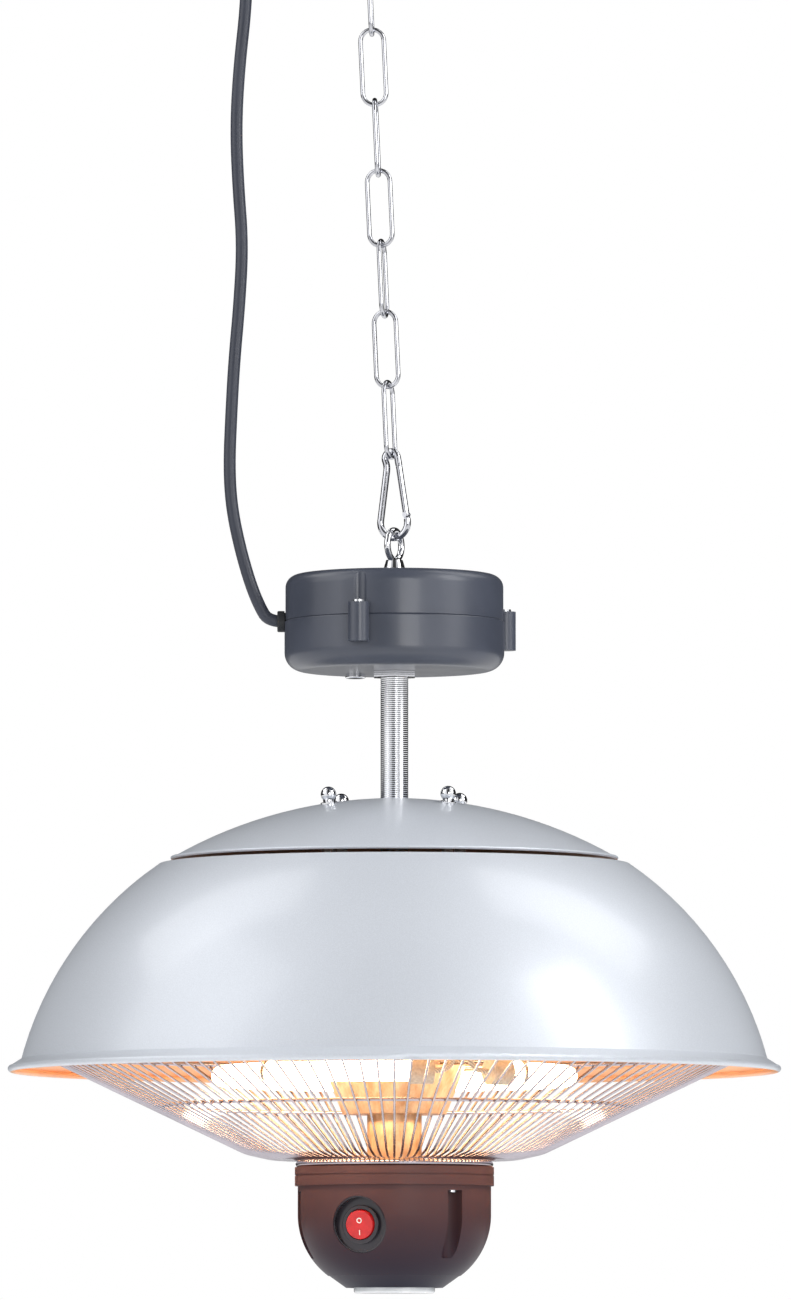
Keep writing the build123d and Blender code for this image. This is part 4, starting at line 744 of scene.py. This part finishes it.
def wires_tree():
    """Tree that turns one wire's line into a round wire, copied round the axis."""
    tree, given, output = start_tree("grille_wires", [
        ("Count", "NodeSocketInt"), ("Thickness", "NodeSocketFloat"), ("Bend", "NodeSocketFloat"),
        ("Centre", "NodeSocketVector"), ("Material", "NodeSocketMaterial"),
    ])
    bent = add_node(
        tree, "GeometryNodeFilletCurve",
        {
            "Curve": given.outputs["Geometry"], "Radius": given.outputs["Bend"], "Limit Radius": True,
            "Count": WIRE_BEND_STEPS,
        },
        mode="POLY",
    )
    section = add_node(tree, "GeometryNodeCurvePrimitiveCircle", {"Resolution": WIRE_SIDES})
    tree.links.new(maths(tree, "DIVIDE", given.outputs["Thickness"], 2.0), section.inputs["Radius"])
    wire = add_node(
        tree, "GeometryNodeCurveToMesh",
        {"Curve": bent.outputs[0], "Profile Curve": section.outputs[0], "Fill Caps": True},
    )
    points = add_node(
        tree, "GeometryNodePoints", {"Count": given.outputs["Count"], "Position": given.outputs["Centre"]},
    )
    index = tree.nodes.new("GeometryNodeInputIndex").outputs[0]
    share = maths(tree, "DIVIDE", index, given.outputs["Count"])
    turn = add_node(tree, "ShaderNodeCombineXYZ", {"Z": maths(tree, "MULTIPLY", share, 2 * math.pi)})
    copies = add_node(
        tree, "GeometryNodeInstanceOnPoints",
        {"Points": points.outputs[0], "Instance": wire.outputs[0], "Rotation": turn.outputs[0]},
    )
    finish_tree(tree, copies.outputs[0], given.outputs["Material"], output)
    return tree


class HEATER_OT_grille(bpy.types.Operator):
    """Round grille wires on a cone under the dome"""

    bl_idname = "heater.grille"
    bl_label = "Grille Wires"

    def execute(self, context):
        own = settings()
        curve = bpy.data.curves.new("wire_line", "CURVE")
        curve.dimensions = "3D"
        spline = curve.splines.new("POLY")
        spline.points.add(len(WIRE_LINE) - 1)
        for control, (radius, height) in zip(spline.points, WIRE_LINE):
            control.co = (radius * MM, 0, height * MM, 1)
        mesh = grown_mesh("grille_bars", curve, wires_tree(), {
            "Count": own.wire_count, "Thickness": own.wire_thick, "Bend": WIRE_BEND * MM,
            "Centre": (heater_x, 0, rim_z), "Material": finishes["grille_steel"],
        })
        bars = new_piece("grille_bars", mesh, "grille_steel", "heater")
        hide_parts("grille_wires")
        return {"FINISHED"}


THREAD_SIDES = 48
THREAD_ROWS_PER_TURN = 6
# At each end the thread comes to its full depth within the tube's length divided by this
THREAD_RUN_OUT = 60.0
# Points nearer than this, in millimetres, are merged along the tube's seam
WELD = 0.01


def thread_tree():
    """Tree that turns a flat grid into a tube with a screw thread."""
    tree, given, output = start_tree("tube_thread", [
        ("Radius", "NodeSocketFloat"), ("Depth", "NodeSocketFloat"), ("Pitch", "NodeSocketFloat"),
        ("Length", "NodeSocketFloat"), ("Around", "NodeSocketInt"), ("Along", "NodeSocketInt"),
        ("Foot", "NodeSocketVector"), ("Material", "NodeSocketMaterial"),
    ])
    grid = add_node(tree, "GeometryNodeMeshGrid", {
        "Size X": 1.0, "Size Y": 1.0,
        "Vertices X": given.outputs["Around"], "Vertices Y": given.outputs["Along"],
    })
    position = tree.nodes.new("GeometryNodeInputPosition").outputs[0]
    place = add_node(tree, "ShaderNodeSeparateXYZ", {"Vector": position})
    around = maths(tree, "ADD", place.outputs["X"], 0.5)
    along = maths(tree, "ADD", place.outputs["Y"], 0.5)
    height = maths(tree, "MULTIPLY", along, given.outputs["Length"])
    turns = maths(tree, "SUBTRACT", maths(tree, "DIVIDE", height, given.outputs["Pitch"]), around)
    ridge = maths(tree, "PINGPONG", turns, 0.5)
    from_end = maths(tree, "MINIMUM", along, maths(tree, "SUBTRACT", 1.0, along))
    fade = maths(tree, "MINIMUM", maths(tree, "MULTIPLY", from_end, THREAD_RUN_OUT), 1.0)
    cut = maths(tree, "MULTIPLY", maths(tree, "MULTIPLY", ridge, 2.0), given.outputs["Depth"])
    radius = maths(tree, "SUBTRACT", given.outputs["Radius"], maths(tree, "MULTIPLY", cut, fade))
    angle = maths(tree, "MULTIPLY", around, 2 * math.pi)
    spot = add_node(tree, "ShaderNodeCombineXYZ", {
        "X": maths(tree, "MULTIPLY", radius, maths(tree, "COSINE", angle)),
        "Y": maths(tree, "MULTIPLY", radius, maths(tree, "SINE", angle)),
        "Z": height,
    })
    moved = vector_step(tree, "ADD", spot.outputs[0], given.outputs["Foot"])
    tube = add_node(
        tree, "GeometryNodeSetPosition", {"Geometry": grid.outputs[0], "Position": moved.outputs[0]},
    )
    closed = add_node(
        tree, "GeometryNodeMergeByDistance", {"Geometry": tube.outputs[0], "Distance": WELD * MM},
    )
    finish_tree(tree, closed.outputs[0], given.outputs["Material"], output)
    return tree


def close_ends(mesh):
    """Fill the open rims of a tube and turn all faces outwards."""
    shape = bmesh.new()
    shape.from_mesh(mesh)
    bmesh.ops.holes_fill(shape, edges=[edge for edge in shape.edges if edge.is_boundary], sides=0)
    bmesh.ops.recalc_face_normals(shape, faces=shape.faces)
    shape.to_mesh(mesh)
    shape.free()


class HEATER_OT_thread(bpy.types.Operator):
    """Tube between the box and the dome with its fine thread"""

    bl_idname = "heater.thread"
    bl_label = "Threaded Tube"

    def execute(self, context):
        own = settings()
        low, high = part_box("threaded_tube")
        length = high.z - low.z
        mesh = grown_mesh("thread", bpy.data.meshes.new("thread"), thread_tree(), {
            "Radius": (high.x - low.x) / 2, "Depth": own.thread_depth, "Pitch": own.thread_pitch,
            "Length": length, "Around": THREAD_SIDES + 1,
            "Along": int(length / own.thread_pitch * THREAD_ROWS_PER_TURN),
            "Foot": (heater_x, 0, low.z), "Material": finishes["zinc_tube"],
        })
        close_ends(mesh)
        tube = new_piece("thread", mesh, "zinc_tube", "heater")
        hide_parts("threaded_tube")
        return {"FINISHED"}


# The marks lie on the rocker's face, the ring above the pivot and the bar below it
MARK_LEAN = 6.0
FACE_OUT = 2.75
MARK_LIFT = 0.06
RING_INNER = 1.0
RING_OUTER = 1.5
RING_RISE = 2.4
RING_STEPS = 32
BAR_SIZE = (0.5, 2.8, 0.12)
BAR_DROP = 4.2


class HEATER_OT_switch_marks(bpy.types.Operator):
    """White O and I on the rocker"""

    bl_idname = "heater.switch_marks"
    bl_label = "Switch Marks"

    def execute(self, context):
        pivot = Vector(joints["rocker_throw"]["pos_m"])
        across = Vector(joints["rocker_throw"]["axis"])
        tilt = Matrix.Rotation(math.radians(MARK_LEAN), 3, across)
        up = tilt @ Vector((0, 0, 1))
        out = across.cross(up)
        face = pivot + out * FACE_OUT * MM
        shape = bmesh.new()
        lift = MARK_LIFT * MM
        ring_centre = face + up * RING_RISE * MM
        section = ((RING_INNER, -lift), (RING_INNER, lift), (RING_OUTER, lift), (RING_OUTER, -lift))
        loops = []
        for radius, rise in section:
            loops.append([
                shape.verts.new(
                    ring_centre + (across * math.cos(turn) + up * math.sin(turn)) * radius * MM + out * rise
                )
                for turn in (2 * math.pi * step / RING_STEPS for step in range(RING_STEPS))
            ])
        for first, second in zip(loops, loops[1:] + loops[:1]):
            for step in range(RING_STEPS):
                after = (step + 1) % RING_STEPS
                shape.faces.new((first[step], first[after], second[after], second[step]))
        bar = bmesh.ops.create_cube(shape, size=1.0)["verts"]
        turn = Matrix((across, up, out)).transposed()
        for vertex in bar:
            local = Vector([part * size for part, size in zip(vertex.co, BAR_SIZE)]) * MM
            vertex.co = face - up * BAR_DROP * MM + turn @ local
        bmesh.ops.recalc_face_normals(shape, faces=shape.faces)
        mesh = bpy.data.meshes.new("switch_marks")
        shape.to_mesh(mesh)
        shape.free()
        marks = new_piece("switch_marks", mesh, "rocker_red", "rocker", smooth=False)
        marks.data.materials.clear()
        marks.data.materials.append(moulded_finish("mark_white", tint(240, 238, 236), 0.35, 1500.0, 0.05))
        return {"FINISHED"}


class HEATER_OT_finishes(bpy.types.Operator):
    """Finishes of the pieces that the frame carries over"""

    bl_idname = "heater.finishes"
    bl_label = "Finishes"

    def execute(self, context):
        finishes.update(make_finishes())
        for entry in frame["record"]["subparts"]:
            piece = frame["nodes"][entry["node"]]
            piece.data.materials.clear()
            piece.data.materials.append(finishes[entry["material_slot"]])
        return {"FINISHED"}


# Studio

CAMERA_DISTANCE = 5700.0
CAMERA_HEIGHT = -184.0
CAMERA_SENSOR = 36.0
CAMERA_LENS = 287.0
CAMERA_REACH = 50.0
CAMERA_AIM = (0.6, 0.0, 231.0)


class HEATER_OT_camera(bpy.types.Operator):
    """Camera at the photograph's viewing angle"""

    bl_idname = "heater.camera"
    bl_label = "Camera"

    def execute(self, context):
        lens = bpy.data.cameras.new("studio_camera")
        lens.sensor_width = CAMERA_SENSOR
        lens.lens = CAMERA_LENS
        lens.clip_end = CAMERA_REACH
        camera = bpy.data.objects.new("studio_camera", lens)
        context.scene.collection.objects.link(camera)
        spot = at_heater(0, -CAMERA_DISTANCE, CAMERA_HEIGHT)
        aim = at_heater(*CAMERA_AIM)
        turn = (aim - spot).to_track_quat("-Z", "Y").to_matrix()
        camera.matrix_world = Matrix.Translation(spot) @ turn.to_4x4()
        context.scene.camera = camera
        return {"FINISHED"}


# Each light's name, place and size in millimetres, and power in watts
LIGHTS = (
    ("key", (2100, -900, 1400), (1000, 1800), 26),
    ("fill", (-2200, -600, 1500), (2000, 2400), 22),
    ("left_edge", (-1700, 700, 2600), (1200, 2000), 16),
    ("right_edge", (1700, 700, 2600), (1200, 2000), 20),
    ("front", (900, -3200, 600), (1200, 1200), 22),
)
LIGHT_AIM = (0, 0, 100)


def area_light(name, place, aim, size, power):
    """Soft rectangular light at a place, turned to its aim."""
    light = bpy.data.lights.new(name, "AREA")
    light.shape = "RECTANGLE"
    light.size, light.size_y = (side * MM for side in size)
    light.energy = power
    lamp = bpy.data.objects.new(name, light)
    bpy.context.scene.collection.objects.link(lamp)
    turn = (aim - place).to_track_quat("-Z", "Y").to_matrix()
    lamp.matrix_world = Matrix.Translation(place) @ turn.to_4x4()


# What metal mirrors all round: the share of a turn, with 0.5 in front, and how bright the wall is there
WALLS = (
    (0.0, 0.03), (0.24, 0.03), (0.29, 0.12), (0.32, 1.0), (0.42, 1.0), (0.45, 0.08),
    (0.55, 0.08), (0.58, 1.0), (0.7, 1.0), (0.73, 0.12), (0.77, 0.03), (1.0, 0.03),
)
WALL_BLUE = 1.02
WALL_LEVEL = 1.05
AIR_LEVEL = 0.82
# Share of their brightness that the surroundings keep straight above
ABOVE_SHARE = 0.45


def background(tree, colour, level):
    """Even surroundings of a colour and a level, each a value or an output."""
    return add_node(tree, "ShaderNodeBackground", {"Color": colour, "Strength": level}).outputs[0]


def mixed(tree, share, first, second):
    """Two shaders mixed, the second by its share."""
    return add_node(tree, "ShaderNodeMixShader", {0: share, 1: first, 2: second}).outputs[0]


def make_surroundings(scene):
    """White to the camera, soft light to matt pieces, and bright and dark walls to metal."""
    world = bpy.data.worlds.new("studio")
    scene.world = world
    world.use_nodes = True
    tree = world.node_tree
    tree.nodes.clear()
    rays = tree.nodes.new("ShaderNodeLightPath").outputs
    seen = maths(tree, "MAXIMUM", rays["Is Camera Ray"], rays["Is Transmission Ray"])
    way = tree.nodes.new("ShaderNodeTexCoord").outputs["Generated"]
    direction = add_node(tree, "ShaderNodeSeparateXYZ", {"Vector": way}).outputs
    azimuth = maths(tree, "ARCTAN2", direction["X"], maths(tree, "MULTIPLY", direction["Y"], -1.0))
    share = maths(tree, "MULTIPLY_ADD", azimuth, 1 / (2 * math.pi), 0.5)
    walls = add_node(tree, "ShaderNodeValToRGB", {"Fac": share})
    ramp = walls.color_ramp
    for place, (stop, level) in enumerate(WALLS):
        element = ramp.elements[place] if place < 2 else ramp.elements.new(stop)
        element.position = stop
        element.color = (level, level, level * WALL_BLUE, 1)
    dim = fit(tree, direction["Z"], 1.0, ABOVE_SHARE, 0.15, 0.9)
    air = background(tree, (1, 1, 1, 1), maths(tree, "MULTIPLY", dim, AIR_LEVEL))
    mirrored = background(tree, walls.outputs["Color"], maths(tree, "MULTIPLY", dim, WALL_LEVEL))
    white = background(tree, (1, 1, 1, 1), 1.0)
    lit = mixed(tree, rays["Is Glossy Ray"], air, mirrored)
    add_node(tree, "ShaderNodeOutputWorld", {"Surface": mixed(tree, seen, lit, white)})


FLOOR_REACH = 12000.0
FLOOR_DROP = 1500.0
FLOOR_GLOW = 0.25


def make_floor(scene):
    """Pale floor far below the heater, which glows a little, and more in what mirrors it."""
    reach = FLOOR_REACH * MM
    floor_z = foot_z - FLOOR_DROP * MM
    sides = ((-reach, -reach), (reach, -reach), (reach, reach), (-reach, reach))
    mesh = bpy.data.meshes.new("floor")
    mesh.from_pydata([(x, y, floor_z) for x, y in sides], [], [(0, 1, 2, 3)])
    finish, tree, shader = start_finish("pale_floor")
    mirror = tree.nodes.new("ShaderNodeLightPath").outputs["Is Glossy Ray"]
    set_inputs(
        tree, shader,
        Base_Color=colour_between(tree, noise(tree, 3.0), (0.86, 0.86, 0.86), (0.9, 0.9, 0.9)),
        Roughness=0.8, Emission_Color=(1, 1, 1, 1),
        Emission_Strength=maths(tree, "MULTIPLY_ADD", mirror, FLOOR_GLOW, FLOOR_GLOW),
    )
    mesh.materials.append(finish)
    floor = bpy.data.objects.new("floor", mesh)
    scene.collection.objects.link(floor)


class HEATER_OT_studio(bpy.types.Operator):
    """Pale floor, soft lights and the white surroundings"""

    bl_idname = "heater.studio"
    bl_label = "Studio"

    def execute(self, context):
        context.scene.view_settings.view_transform = "Standard"
        make_surroundings(context.scene)
        aim = at_heater(*LIGHT_AIM)
        for name, place, size, power in LIGHTS:
            area_light(name, at_heater(*place), aim, size, power)
        make_floor(context.scene)
        return {"FINISHED"}


class HEATER_PT_panel(bpy.types.Panel):
    """Lists the heater's operators and settings"""

    bl_idname = "HEATER_PT_panel"
    bl_label = "Patio Heater"
    bl_space_type = "VIEW_3D"
    bl_region_type = "UI"
    bl_category = "Heater"

    def draw(self, context):
        for operator in OPERATORS:
            self.layout.operator(operator.bl_idname)
        for name in HeaterSettings.__annotations__:
            self.layout.prop(context.scene.heater_settings, name)


OPERATORS = (
    HEATER_OT_camera,
    HEATER_OT_finishes,
    HEATER_OT_cord,
    HEATER_OT_grille,
    HEATER_OT_thread,
    HEATER_OT_switch_marks,
    HEATER_OT_studio,
)
CLASSES = (HeaterSettings, *OPERATORS, HEATER_PT_panel)


def register():
    """Register the classes and the scene's settings."""
    for cls in CLASSES:
        bpy.utils.register_class(cls)
    bpy.types.Scene.heater_settings = bpy.props.PointerProperty(type=HeaterSettings)


def unregister():
    """Remove the settings and the classes."""
    del bpy.types.Scene.heater_settings
    for cls in reversed(CLASSES):
        bpy.utils.unregister_class(cls)


def main():
    """Dress the heater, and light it."""
    register()
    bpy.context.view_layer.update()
    for operator in OPERATORS:
        group, name = operator.bl_idname.split(".")
        getattr(getattr(bpy.ops, group), name)()
    bpy.context.view_layer.update()


if __name__ == "__main__":
    main()
